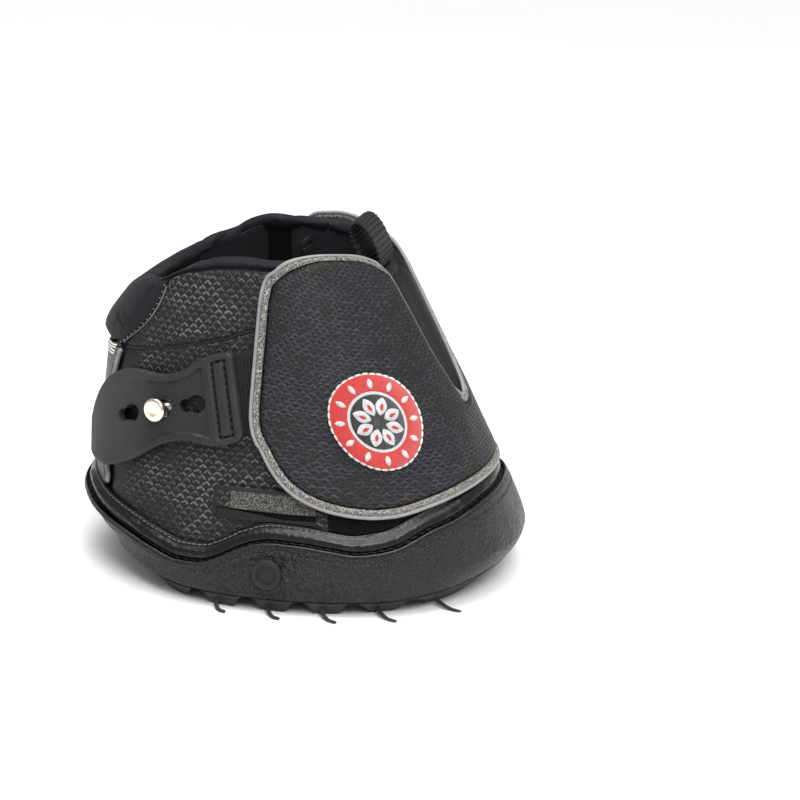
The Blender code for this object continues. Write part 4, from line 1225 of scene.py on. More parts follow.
def swept(name: str, path: Path, half_width: float, half_height: float, sides: int = 12, power: float = 2.0,
          ends: float = 0.6, swell: Optional[Callable[[float, float], float]] = None) -> Piece:
    """A cord or tape along a path, with a rounded section.

    Args:
        name: Name of the piece.
        path: The centre line.
        half_width: Half the section's width, along the surface.
        half_height: Half its height, off the surface.
        sides: Points round the section.
        power: 2 for an ellipse, more for a squarer section.
        ends: Length of the rounded ends, as a share of the half width, on an open path.
        swell: Factor of the section's size for the running length and the angle.

    Returns:
        The swept piece, closed.
    """
    count = len(path.points)
    lengths = path.lengths()
    total = lengths[-1]
    columns = count if path.closed else count - 1
    round_length = max(half_width * ends, 1e-6)

    def spot(u: float, v: float) -> Vector:
        """The section's point for u along and v round.

        Args:
            u: Share along u, 0 to 1.
            v: Share along v, 0 to 1.

        Returns:
            The point.
        """
        index = round(u * columns)
        at = lengths[min(index, len(lengths) - 1)]
        index %= count
        centre, normal, tangent = path.points[index], path.normals[index], path.tangent(index)
        across = tangent.cross(normal).normalized()
        rise = across.cross(tangent).normalized()
        angle = 2 * pi * v
        cosine, sine = cos(angle), sin(angle)
        size = 1.0 if swell is None else swell(at, angle)
        if not path.closed:
            near = min(at, total - at) / round_length
            size *= sqrt(max(1 - (1 - min(near, 1.0)) ** 2, 0.0))
        x = copysign(abs(cosine) ** (2 / power), cosine) * half_width * size
        y = copysign(abs(sine) ** (2 / power), sine) * half_height * size
        return centre + across * x + rise * y

    girth = pi * (half_width + half_height)
    return BENCH.formed(name, columns, sides, spot, lambda u, v: Vector((total * u, v * girth, 0.0)),
                        merge=True)


def beads(name: str, path: Path, length: float, gap: float, half_width: float, half_height: float,
          turn: float = 0.0, wander: float = 0.0, seed: int = 1) -> Piece:
    """A row of stitches: low rounded beads laid end to end on a path.

    Args:
        name: Name of the piece.
        path: The seam's line.
        length: Length of one stitch.
        gap: Gap between stitches.
        half_width: Half a stitch's width.
        half_height: Half its height.
        turn: Angle of each stitch to the seam, in radians.
        wander: How far a stitch may stray, in metres.
        seed: Seed of the straying.

    Returns:
        The row as one mesh.
    """
    pick = random.Random(seed)
    even = path.resampled(length + gap)
    sides, rings = 6, 4
    points: list[Vector] = []
    faces: list[tuple[int, ...]] = []
    for index, centre in enumerate(even.points):
        tangent, normal = even.tangent(index), even.normals[index]
        across = tangent.cross(normal).normalized()
        rise = across.cross(tangent).normalized()
        lie = tangent * cos(turn) + across * sin(turn)
        side = lie.cross(rise).normalized()
        centre = centre + across * pick.uniform(-wander, wander)
        start = len(points)
        for ring in range(rings + 1):
            share = ring / rings
            along = (share - 0.5) * length
            size = sin(pi * clamp(share, 0.06, 0.94)) ** 0.45
            for number in range(sides):
                angle = 2 * pi * (number + 0.5) / sides
                points.append(centre + lie * along + side * (cos(angle) * half_width * size)
                              + rise * (sin(angle) * half_height * size))
        for ring in range(rings):
            for number in range(sides):
                after = (number + 1) % sides
                low, high = start + ring * sides, start + (ring + 1) * sides
                faces.append((low + number, low + after, high + after, high + number))
        faces.append(tuple(start + n for n in reversed(range(sides))))
        faces.append(tuple(start + rings * sides + n for n in range(sides)))
    mesh = bpy.data.meshes.new(name)
    mesh.from_pydata(points, [], faces)
    row = bpy.data.objects.new(name, mesh)
    bpy.context.scene.collection.objects.link(row)
    BENCH.merge(row, 1e-9, slim=True)
    return row


def lathe(name: str, profile: Sequence[Pair], centre: Vector, axis: Vector, sides: int = 48) -> Piece:
    """A turned piece: radius and height pairs spun about an axis.

    Args:
        name: Name of the piece.
        profile: Radius and height pairs.
        centre: Origin of the heights.
        axis: Direction of the axis.
        sides: Steps round it.

    Returns:
        The turned piece, closed.
    """
    side = axis.orthogonal().normalized()
    other = axis.cross(side).normalized()
    rows = len(profile) - 1

    def spot(u: float, v: float) -> Vector:
        """The profile's point for u round and v along.

        Args:
            u: Share along u, 0 to 1.
            v: Share along v, 0 to 1.

        Returns:
            The point.
        """
        radius, height = profile[round(v * rows)]
        angle = 2 * pi * u
        return centre + axis * height + (side * cos(angle) + other * sin(angle)) * radius

    return BENCH.formed(name, sides, rows, spot, lambda u, v: Vector((u * 0.02, v * 0.01, 0.0)), merge=True)


def drum(centre: Vector, axis: Vector, radius: float, length: float, sides: int) -> Piece:
    """A plain cylinder used as a cutter.

    Args:
        centre: Its middle.
        axis: Its direction.
        radius: Its radius.
        length: Its length.
        sides: Faces round it.

    Returns:
        The cylinder.
    """
    bpy.ops.object.select_all(action="DESELECT")
    bpy.ops.mesh.primitive_cylinder_add(vertices=sides, radius=radius, depth=length, location=centre)
    made = bpy.context.object
    made.rotation_euler = axis.to_track_quat("Z", "Y").to_euler()
    BENCH.only(made)
    bpy.ops.object.transform_apply(location=True, rotation=True, scale=True)
    return made


def ring_loft(name: str, columns: int, rings: Sequence[Ring], closed: bool = False) -> Piece:
    """A closed piece lofted through rings round the boot.

    Args:
        name: Name of the piece.
        columns: Points round each ring.
        rings: A function from turn to point for each ring, foot first.
        closed: Join the last ring to the first instead of filling both.

    Returns:
        The lofted piece, faces outwards.
    """
    rows = len(rings) if closed else len(rings) - 1

    def spot(u: float, v: float) -> Vector:
        """The ring's point for u and v."""
        return rings[round(v * rows) % len(rings)](360.0 * (round(u * columns) % columns) / columns)

    piece = BENCH.formed(name, columns, rows, spot, lambda u, v: Vector((0.45 * u, 0.05 * v, 0.0)))
    BENCH.merge(piece, 1e-6, fill=not closed)
    return piece


LEATHER = EmbossedLeather("side_leather", "embossed_leather", plain_from=WALL.arc(123),
                          plain_to=WALL.arc(135))
# The flap's chevrons get a fainter painted highlight.
FLAP_LEATHER = EmbossedLeather("flap_leather", "embossed_leather", ground=(0.0078, 0.0082, 0.0092),
                               painted_highlight=(0.042, 0.044, 0.050), pitch=0.0034, row=0.00150, wing=1.5,
                               width=0.25, reach=0.48, lean=0.22, brick=0.37, wander=0.0015, depth=0.00042,
                               patchy=0.45, worn=0.6)
STRIP_LEATHER = GlitterTape("strip_glitter", "reflective_tape", colour=(0.155, 0.148, 0.136),
                            dark=(0.012, 0.011, 0.010), speck=1900.0)
NEOPRENE = Cloth("neoprene_cloth", "neoprene", colour=(0.0056, 0.0060, 0.0084), grain=1500.0, depth=0.00005,
                 rough=0.62, specular=0.16)
# The same neoprene painted lighter, as painted light on the inside of the mouth.
NEOPRENE_PAINTED_LIGHT = Cloth("neoprene_painted_light", "neoprene", colour=(0.0200, 0.0205, 0.0250), grain=1500.0, depth=0.00005,
                   rough=0.62, specular=0.16)
LINING = Cloth("lining_cloth", "neoprene", colour=(0.0030, 0.0031, 0.0038), grain=2400.0, depth=0.00008)
STRETCH = Cloth("gusset_cloth", "neoprene", colour=(0.0036, 0.0038, 0.0050), grain=1700.0, depth=0.00005,
                rough=0.92)
PAD_CLOTH = RibbedCloth("pad_cloth", "neoprene", colour=(0.0080, 0.0084, 0.0112), pitch=0.00095, slant=0.55,
                        depth=0.00012, rough=0.6)
# The sidewall's many light specks are painted sparkle highlights.
SIDEWALL = MouldedRubber("sole_rubber", "sidewall_rubber", colour=(0.0046, 0.0046, 0.0050), pebble=1000.0,
                         depth=0.00110, rough=0.24, specular=0.38, dust_and_glints=0.35, coarse=420.0)
BOSS_RUBBER = MouldedRubber("boss_rubber", "sidewall_rubber", colour=(0.0120, 0.0120, 0.0126), pebble=2400.0,
                            depth=0.00003, rough=0.5, specular=0.25, dust_and_glints=0.03)
WELT_RUBBER = MouldedRubber("welt_rubber", "sidewall_rubber", colour=(0.0045, 0.0045, 0.0048), pebble=500.0,
                            depth=0.00012, rough=0.24, rough_spread=0.05, specular=0.36, dust_and_glints=0.03)
LIP_RUBBER = MouldedRubber("lip_rubber", "sidewall_rubber", colour=(0.0045, 0.0045, 0.0048), rough=0.22,
                           specular=0.5)
TREAD_RUBBER = MouldedRubber("tread_compound", "tread_rubber", colour=(0.022, 0.023, 0.026), pebble=1500.0,
                             depth=0.00008, rough=0.55, specular=0.22, dust_and_glints=0.05)
TAB_RUBBER = MouldedRubber("tab_compound", "tab_rubber", colour=(0.0215, 0.0220, 0.0230), pebble=2600.0,
                           depth=0.00004, rough=0.46, rough_spread=0.08, specular=0.25, dust_and_glints=0.06)
CORD = SmoothCord("piping_cord", "grey_piping")
EDGE_TAPE = GlitterTape("piping_tape", "grey_piping")
HEEL_TAPE = GlitterTape("heel_tape", "reflective_tape", colour=(0.21, 0.20, 0.18), dark=(0.030, 0.028, 0.026))
PLAIN_LEATHER = EmbossedLeather("plain_leather", "embossed_leather", plain_from=-2.0, plain_to=-1.0)
WEBBING = RibbedCloth("ribbed_webbing", "webbing", colour=(0.0075, 0.0075, 0.0082), pitch=0.0016,
                      depth=0.0002)
ELASTIC = RibbedCloth("ribbed_elastic", "webbing", colour=(0.0125, 0.0125, 0.0130), pitch=0.0007,
                      depth=0.0001)
PILE = Cloth("hook_pile", "hook_and_loop", colour=(0.0035, 0.0035, 0.0038), grain=900.0, depth=0.0006,
             rough=0.9, contrast=0.8)
METAL = TurnedMetal("stud_brass", "stud_metal")
FOAM = Cloth("insole_cloth", "foam", colour=(0.010, 0.010, 0.011), grain=1200.0, depth=0.0002)
BLACK_THREAD = Cloth("black_thread", "thread", colour=(0.0045, 0.0045, 0.0045), grain=3500.0, rough=0.5,
                     specular=0.3)
# Black thread painted darker still, as painted shade in the tab's sewn groove.
SHADED_TAB_THREAD = Cloth("tab_thread_painted_shade", "thread", colour=(0.0012, 0.0012, 0.0012), grain=3500.0, rough=0.7)
GREY_THREAD = Cloth("grey_thread", "thread", colour=(0.13, 0.126, 0.12), grain=3500.0, rough=0.6)
WHITE_THREAD = Cloth("white_thread", "thread", colour=(0.56, 0.55, 0.52), grain=3500.0, rough=0.6)
RED_SATIN = SatinStitch("red_satin", "badge_cloth", colour=(0.66, 0.012, 0.008))
WHITE_SATIN = SatinStitch("white_satin", "badge_cloth", colour=(0.74, 0.74, 0.74), turn=-0.4)
BLACK_SATIN = SatinStitch("black_satin", "badge_cloth", colour=(0.006, 0.006, 0.007), turn=0.3)


def sew(name: str, path: Path, length: float, gap: float, half_width: float, half_height: float,
        *stands_for: str, thread: Finish = BLACK_THREAD, body: Optional[Body] = Body.BOOT, turn: float = 0.0,
        wander: float = 0.0) -> Piece:
    """A finished row of stitches.

    Args:
        name: Name of the piece.
        path: The seam's line.
        length: Length of one stitch.
        gap: Gap between stitches.
        half_width: Half a stitch's width.
        half_height: Half its height.
        stands_for: CAD nodes that it replaces.
        thread: Its finish.
        body: The body it rides on.
        turn: Angle of each stitch to the seam, in radians.
        wander: How far a stitch may stray, in metres.

    Returns:
        The row.
    """
    row = beads(name, path, length, gap, half_width, half_height, turn, wander)
    return BENCH.finish(row, thread, body, *stands_for)


@dataclass
class Studio:
    """Pale floor, soft light and the camera at the photograph's angle."""

    camera_place: Triple = (-0.6792, -0.1591, 0.2731)
    camera_forward: Triple = (0.9424, 0.1713, -0.2875)
    camera_roll: float = 2.539
    lens: float = 83.16
    floor_size: float = 60.0

    def build(self) -> None:
        """Set the camera, the lights, the world and the floor."""
        self.camera()
        self.floor()
        self.light("key_light", (-0.95, -0.42, 1.00), 0.50, 8.8)
        self.light("top_light", (-0.15, 0.15, 1.10), 0.80, 8.0)
        self.light("front_light", (0.04, -1.10, 0.15), 0.16, 0.9)
        self.daylight()
        bpy.context.scene.view_settings.view_transform = "Standard"
        world = bpy.data.worlds.new("studio")
        world.use_nodes = True
        background = world.node_tree.nodes["Background"]
        background.inputs[0].default_value = (1.0, 1.0, 1.0, 1.0)
        background.inputs[1].default_value = 0.44
        bpy.context.scene.world = world

    def daylight(self) -> None:
        """A broad soft overhead light that keeps the floor even and pale."""
        data = bpy.data.lights.new("overhead_light", "SUN")
        data.energy = 2.15
        data.angle = radians(60)
        lamp = bpy.data.objects.new("overhead_light", data)
        lamp.rotation_euler = (Vector((0.15, 0.30, -1.0))).to_track_quat("-Z", "Y").to_euler()
        bpy.context.scene.collection.objects.link(lamp)

    def camera(self) -> None:
        """Set the camera from the fitted place, direction and roll."""
        forward = Vector(self.camera_forward).normalized()
        level_right = forward.cross(Vector((0, 0, 1))).normalized()
        level_up = level_right.cross(forward)
        roll = radians(self.camera_roll)
        right = level_right * cos(roll) + level_up * sin(roll)
        up = level_up * cos(roll) - level_right * sin(roll)
        data = bpy.data.cameras.new("camera")
        data.lens = self.lens
        data.sensor_width = 36.0
        data.clip_start = 0.01
        camera = bpy.data.objects.new("camera", data)
        bpy.context.scene.collection.objects.link(camera)
        turned = Matrix((right, up, -forward)).transposed().to_4x4()
        camera.matrix_world = Matrix.Translation(Vector(self.camera_place)) @ turned
        bpy.context.scene.camera = camera

    def light(self, name: str, place: Triple, size: float, power: float) -> None:
        """One soft square light that looks at the boot.

        Args:
            name: Name of the light.
            place: Its place.
            size: Length of its side.
            power: Its power, in watts.
        """
        data = bpy.data.lights.new(name, "AREA")
        data.size = size
        data.energy = power
        lamp = bpy.data.objects.new(name, data)
        lamp.location = place
        lamp.rotation_euler = (Vector((0, 0, 0.06)) - Vector(place)).to_track_quat("-Z", "Y").to_euler()
        bpy.context.scene.collection.objects.link(lamp)

    def floor(self) -> None:
        """A wide pale floor."""
        bpy.ops.object.select_all(action="DESELECT")
        bpy.ops.mesh.primitive_plane_add(size=self.floor_size, location=(0, 0, 0))
        floor = bpy.context.object
        floor.name = "studio_floor"
        graph = Graph("floor_paint")
        cloud = graph.noise(3.0, 2.0)
        colour = graph.mix(graph.step(cloud, 0.3, 0.7), (0.885, 0.885, 0.885), (0.895, 0.895, 0.895))
        floor.data.materials.append(graph.dress(colour, 0.9, specular_ior_level=0.1))


@dataclass
class Sole:
    """Moulded cup with its welt, seam, bosses, tread, moulding whiskers and insole."""

    belly: Triple = (0.0872, 0.0735, 0.0702)
    edge: Triple = (0.0830, 0.0640, 0.0692)
    well: Triple = (0.0740, 0.0600, 0.0586)
    tread: Triple = (0.0715, 0.0560, 0.0662)
    under_inset: float = 0.0070
    floor_low: float = 0.0055
    floor_top: float = 0.0090
    belly_share: float = 0.30
    lip_reach: float = 0.0050
    lip_round: float = 0.0009
    lip_groove: float = 0.0026
    seat_depth: float = 0.0068
    boss_radius: float = 0.0056
    boss_recess: float = 0.0037
    boss_proud: float = 0.0013
    boss_tilt: float = 0.10
    boss_height: float = 0.0160
    boss_turn: float = 87.0
    lug_height: float = 0.0054
    lug_pitch: float = 0.0196
    lug_count: int = 5
    first_lug_y: float = -0.0430
    channel_top: float = 0.0055
    channel_low: float = 0.0110
    centre_channel: float = 0.0090
    whisker_first_y: float = -0.0608
    whisker_radius: float = 0.00095
    whisker_reach: float = 0.0062
    whisker_sweep: float = 0.0060
    whisker_rise: float = 0.0026
    whisker_floor: float = 0.0008
    insole_thickness: float = 0.0050
    welt_foot: float = 0.0027
    welt_head: float = 0.0012
    gap: float = 0.0004
    columns: int = 240

    def oval(self, sizes: Triple, height: float | Line, grow: float = 0.0) -> Ring:
        """A ring of the given front, rear and half width at a height.

        Args:
            sizes: Front, rear and half width.
            height: Its height, or a height line.
            grow: What is added to each size.

        Returns:
            A function from turn to point.
        """
        grown = [size + grow for size in sizes]
        level = height if callable(height) else lambda turn: height
        return lambda turn: Vector((*WALL.oval(turn, *grown), level(turn)))

    def side(self, share: float) -> Ring:
        """A ring on the sidewall, a share of the way from its lower edge to its lip.

        Args:
            share: Share of the way, 0 to 1.

        Returns:
            A function from turn to point.
        """
        def ring(turn: float) -> Vector:
            """The ring's point at a turn, bulging smoothly through the belly line.

            Args:
                turn: Turn in degrees.

            Returns:
                The point.
            """
            low, top = LINES.sole_edge(turn), LINES.sole_top(turn) - self.lip_round
            foot = self.oval(self.edge, low)(turn)
            middle = self.oval(self.belly, lerp(low, LINES.sole_top(turn), self.belly_share))(turn)
            lip = WALL.point(turn, top, self.lip_reach)
            if share < self.belly_share:
                part = share / self.belly_share
                flat = foot.lerp(middle, 1 - (1 - part) ** 1.8)
                flat.z = lerp(foot.z, middle.z, part)
                return flat
            part = (share - self.belly_share) / (1 - self.belly_share)
            flat = middle.lerp(lip, part ** 1.25)
            flat.z = lerp(middle.z, lip.z, part)
            return flat
        return ring

    def on_lip(self, offset: float, drop: float) -> Ring:
        """A ring on the leaning wall at an offset, a drop below the cup's lip."""
        return lambda turn: WALL.point(turn, LINES.sole_top(turn) - drop, offset)

    def cup(self) -> None:
        """The cup: sidewall with a fine lip, a seat for the upper, and a well for the insole."""
        seat, lip, groove = self.seat_depth, self.lip_reach, self.lip_groove
        rings = [self.oval(self.edge, self.floor_low, -self.under_inset),
                 self.oval(self.edge, lambda turn: LINES.sole_edge(turn) - 0.0001, -0.0006)]
        rings += [self.side(share) for share in (0, 0.02, 0.05, 0.1, 0.16, 0.22, 0.3, 0.38, 0.46, 0.54, 0.62,
                                                 0.7, 0.78, 0.85, 0.91, 0.95, 0.98, 1.0)]
        rings += [self.on_lip(lip - 0.0003, 0.0003), self.on_lip(lip - 0.0007, 0.0),
            self.on_lip(lip - 0.0011, 0.0003), self.on_lip(lip - 0.0015, groove),
            self.on_lip(self.gap, groove + 0.0003), self.on_lip(self.gap, seat), self.on_lip(-0.0055, seat),
            self.oval(self.well, self.floor_top + 0.001), self.oval(self.well, self.floor_top, -0.001)]
        cup = ring_loft("sole_cup_body", self.columns, rings)
        BENCH.finish(cup, SIDEWALL, Body.BOOT, "sole_cup", angle=50)
        for side, label in SIDES:
            x, y = WALL.oval(side * self.boss_turn, *self.belly)
            face = Vector((x, y, self.boss_height))
            r, q, p = self.boss_radius, self.boss_recess, self.boss_proud
            profile = [(0.0, p - 0.0008), (q * 0.5, p - 0.0009), (q - 0.0004, p - 0.0012), (q, p - 0.0010),
                       (q, p - 0.0003), (q + 0.0001, p - 0.0001), (q + 0.0003, p), (r - 0.0006, p),
                       (r - 0.0002, p - 0.0002), (r, p - 0.0006), (r + 0.0001, -0.003), (0.0, -0.003)]
            axis = Vector((-side, 0, self.boss_tilt)).normalized()
            ring = lathe(f"boss_ring_{label}", profile, face, axis, 64)
            BENCH.finish(ring, BOSS_RUBBER, Body.BOOT, angle=50)

    def lip_studs(self) -> None:
        """A row of tiny moulded pips just under the cup's lip."""
        points, normals = [], []
        for turn in range(0, 360, 2):
            share = 1 - 0.0027 / (LINES.sole_top(turn) - LINES.sole_edge(turn))
            points.append(self.side(share)(turn))
            normals.append(WALL.normal(turn, LINES.sole_top(turn)))
        sew("sole_lip_pips", Path(points, normals, True), 0.0007, 0.0009, 0.00026, 0.00026, thread=LIP_RUBBER)
        path = Path.on_wall([(turn, LINES.sole_top(turn)) for turn in range(0, 360, 2)],
                            self.lip_reach - 0.0006, closed=True)
        BENCH.finish(swept("sole_lip_edge", path, 0.00045, 0.00035, 10), LIP_RUBBER, Body.BOOT)

    def welt(self) -> None:
        """Welt band with slack creases, thick at the sole and thin at its top, and a light grey stitch row
        along its top that is partly thread and partly a painted highlight of its edge.
        """
        def crease(turn: float, share: float) -> float:
            """Slow creases that die out at the band's edges."""
            wave = sin(turn * 0.35 + 3 * sin(turn * 0.11)) + 0.6 * sin(turn * 0.83 + share * 4)
            return 0.00016 * wave * sin(pi * share)

        def ring(share: float, proud: float) -> Ring:
            """A ring at a share of the band's height, proud of the wall.

            Args:
                share: Share of the way, 0 to 1.
                proud: How far it stands off the wall.

            Returns:
                A function from turn to point.
            """
            return lambda turn: WALL.point(
                turn, lerp(LINES.sole_top(turn) + 0.0013, LINES.welt_top(turn), share),
                proud + crease(turn, share))

        foot, head = self.gap + self.welt_foot, self.gap + self.welt_head
        rings = [ring(0.0, self.gap), ring(0.0, foot - 0.0004), ring(0.02, foot - 0.0001), ring(0.06, foot)]
        for share in (0.14, 0.24, 0.34, 0.42, 0.5, 0.6, 0.7, 0.8, 0.88):
            rings.append(ring(share, lerp(foot, head, ease(0.36, 0.86, share))))
        rings += [ring(0.95, head), ring(0.985, head - 0.0002), ring(1.0, head - 0.0006), ring(1.0, self.gap)]
        welt = ring_loft("welt_band_body", self.columns, rings, closed=True)
        BENCH.finish(welt, WELT_RUBBER, Body.BOOT, "welt_band", angle=60)
        places = [(turn, LINES.welt_top(turn) - 0.0007) for turn in range(0, 360, 2)]
        path = Path.on_wall(places, head + 0.0001, closed=True)
        # light grey stitches: seam thread, and also the painted highlight along the welt's top edge
        sew("welt_top_stitches_and_glint", path, 0.0017, 0.0004, 0.00022, 0.0002, thread=GREY_THREAD, wander=0.0001)

    def seam(self) -> None:
        """Twisted thread in the groove between welt and cup."""
        places = [(turn, LINES.sole_top(turn) + 0.0002) for turn in range(0, 360, 2)]
        path = Path.on_wall(places, self.gap + self.welt_foot - 0.0010, closed=True)
        sew("welt_seam_thread", path, 0.0030, 0.0003, 0.00042, 0.0004, "sole_seam_thread", turn=0.12)

    def bar(self, width: float, length: float, depth: float, place: Triple) -> Piece:
        """A rounded cutter bar along the boot.

        Args:
            width: Its width.
            length: Its length.
            depth: Its height.
            place: Its middle.

        Returns:
            The bar.
        """
        bpy.ops.object.select_all(action="DESELECT")
        bpy.ops.mesh.primitive_cube_add(size=1.0)
        made = bpy.context.object
        for vertex in made.data.vertices:
            x, y, z = vertex.co
            vertex.co = Vector((y * width, x * length, z * depth))
        made.data.flip_normals()
        BENCH.apply(made, "BEVEL", width=0.0009, segments=3, limit_method="ANGLE")
        for vertex in made.data.vertices:
            vertex.co += Vector(place)
        return made

    def channel(self, middle: float) -> Piece:
        """A cutter across the tread with a rounded roof and flared feet, so that the lugs come out round.

        Args:
            middle: Its middle along the boot.

        Returns:
            The cutter.
        """
        foot, roof, turn_in = -0.004, self.lug_height, 0.0016

        def reach(height: float) -> float:
            """Half the channel's width at a height.

            Args:
                height: Height above the ground.

            Returns:
                The half width.
            """
            wide = lerp(self.channel_low, self.channel_top, clamp(height / roof, 0, 1)) / 2
            wide += turn_in * clamp(1 - height / turn_in, 0, 1.6) ** 2
            over = clamp((height - roof + turn_in) / turn_in, 0, 1)
            return wide - turn_in * (1 - sqrt(1 - over * over))

        heights = [foot, 0.0] + [step * 0.0004 for step in range(1, 5)]
        heights += [lerp(0.0016, roof - turn_in, step / 3) for step in (1, 2, 3)]
        heights += [roof - turn_in * (1 - sin(radians(angle))) for angle in (22, 45, 68, 90)]
        outline = [(reach(height), height) for height in heights]
        outline += [(-wide, height) for wide, height in reversed(outline)]

        count = len(outline)
        spots = [Vector((0.0, middle + wide, height)) for wide, height in outline]

        def ring(x: float) -> Ring:
            """The channel's outline at a place across the boot."""
            return lambda turn: spots[round(turn / 360 * count) % count] + Vector((x, 0.0, 0.0))
        return ring_loft("channel", count, [ring(-0.11), ring(0.11)])

    def tread_block(self) -> None:
        """Tread with a bevelled toe and paired lugs."""
        def under(turn: float) -> float:
            """Height of the tread's upper rim."""
            return LINES.sole_edge(turn) - 0.0003

        rings = [self.oval(self.tread, 0.0, -0.0006), self.oval(self.tread, 0.0001, -0.0002),
                 self.oval(self.tread, 0.0005, 0.0001)]
        for share in (0.2, 0.45, 0.7, 0.9):
            sizes = tuple(lerp(a, b - 0.0003, share) for a, b in zip(self.tread, self.edge))
            rings.append(self.oval(sizes, lambda turn, share=share: under(turn) * share))
        rings += [self.oval(self.edge, lambda turn: under(turn) - 0.0003, -0.0003),
                  self.oval(self.edge, under, -0.0009), self.oval(self.edge, self.floor_low - 0.0003,
                                                                  -self.under_inset)]
        tread = ring_loft("tread_block", self.columns, rings)
        depth = self.lug_height + 0.004
        for index in range(self.lug_count + 1):
            y = self.first_lug_y + (index - 0.5) * self.lug_pitch
            BENCH.cut(tread, self.channel(y))
        first = self.first_lug_y - self.lug_pitch / 2
        last = self.first_lug_y + (self.lug_count - 0.5) * self.lug_pitch
        BENCH.cut(tread, self.bar(self.centre_channel, last - first, depth,
                                  (0, (first + last) / 2, self.lug_height - depth / 2)))
        BENCH.finish(tread, TREAD_RUBBER, Body.BOOT, "tread", angle=35)

    def lug_side(self, y: float, height: float) -> float:
        """Half width of the tread at a place along the boot and a height.

        Args:
            y: Place along the boot.
            height: Height, in metres.

        Returns:
            The half width.
        """
        share = height / LINES.sole_edge(self.boss_turn)
        front, rear, half = (lerp(a, b, share) for a, b in zip(self.tread, self.edge))
        ahead = y < WALL.mid_shift
        reach = front + WALL.mid_shift if ahead else rear - WALL.mid_shift
        power = WALL.toe_power if ahead else WALL.heel_power
        return half * (1 - (abs(y - WALL.mid_shift) / reach) ** power) ** (1 / power)

    def whiskers(self) -> None:
        """Thin moulding whiskers on the lugs' outer faces, tapering to a blunt end."""
        for side, label in SIDES:
            for index in range(self.lug_count):
                y = self.whisker_first_y + index * self.lug_pitch
                half = self.lug_side(y, self.whisker_rise)
                probe = 0.0003
                ahead, behind = (self.lug_side(y + way, self.whisker_rise) for way in (probe, -probe))
                slope = (ahead - behind) / (2 * probe)
                away = Vector((-side, -slope, 0.0)).normalized()
                root = Vector((-side * half, y, 0.0)) - away * 0.0006
                points = []
                for step in range(15):
                    share = step / 14
                    out = (self.whisker_reach + 0.0006) * sin(share * pi / 2)
                    forward = self.whisker_sweep * (1 - cos(share * pi / 2))
                    z = lerp(self.whisker_rise, self.whisker_floor, min(1.0, share * 1.7))
                    points.append(root + away * out + Vector((0.0, -forward, z)))
                path = Path(points, [Vector((0, 0, 1))] * len(points)).eased(3)
                tube = swept(f"moulding_whisker_{label}_{index + 1}", path, self.whisker_radius,
                             self.whisker_radius, 10, swell=lambda at, angle: 1.0 - 48.0 * at)
                BENCH.finish(tube, TREAD_RUBBER, Body.BOOT, f"whisker_{label}_{index + 1}")

    def insole(self) -> None:
        """Foam insole with rounded edges and a slight dish."""
        low = self.floor_top + 0.0003
        top = low + self.insole_thickness
        grow = -0.0007
        steps = ((low, 0.0004), (low + 0.0004, 0.0), (top - 0.0012, 0.0), (top - 0.0004, 0.0004),
                 (top, 0.0014), (top - 0.0003, 0.010), (top - 0.0004, 0.030))
        pad = ring_loft("insole_pad_cloth", 120, [self.oval(self.well, height, grow - inset)
                                                  for height, inset in steps])
        BENCH.finish(pad, FOAM, Body.BOOT, "insole_pad", angle=60)

    def build(self) -> None:
        """Build every piece of the sole."""
        self.cup()
        self.lip_studs()
        self.welt()
        self.seam()
        self.tread_block()
        self.whiskers()
        self.insole()


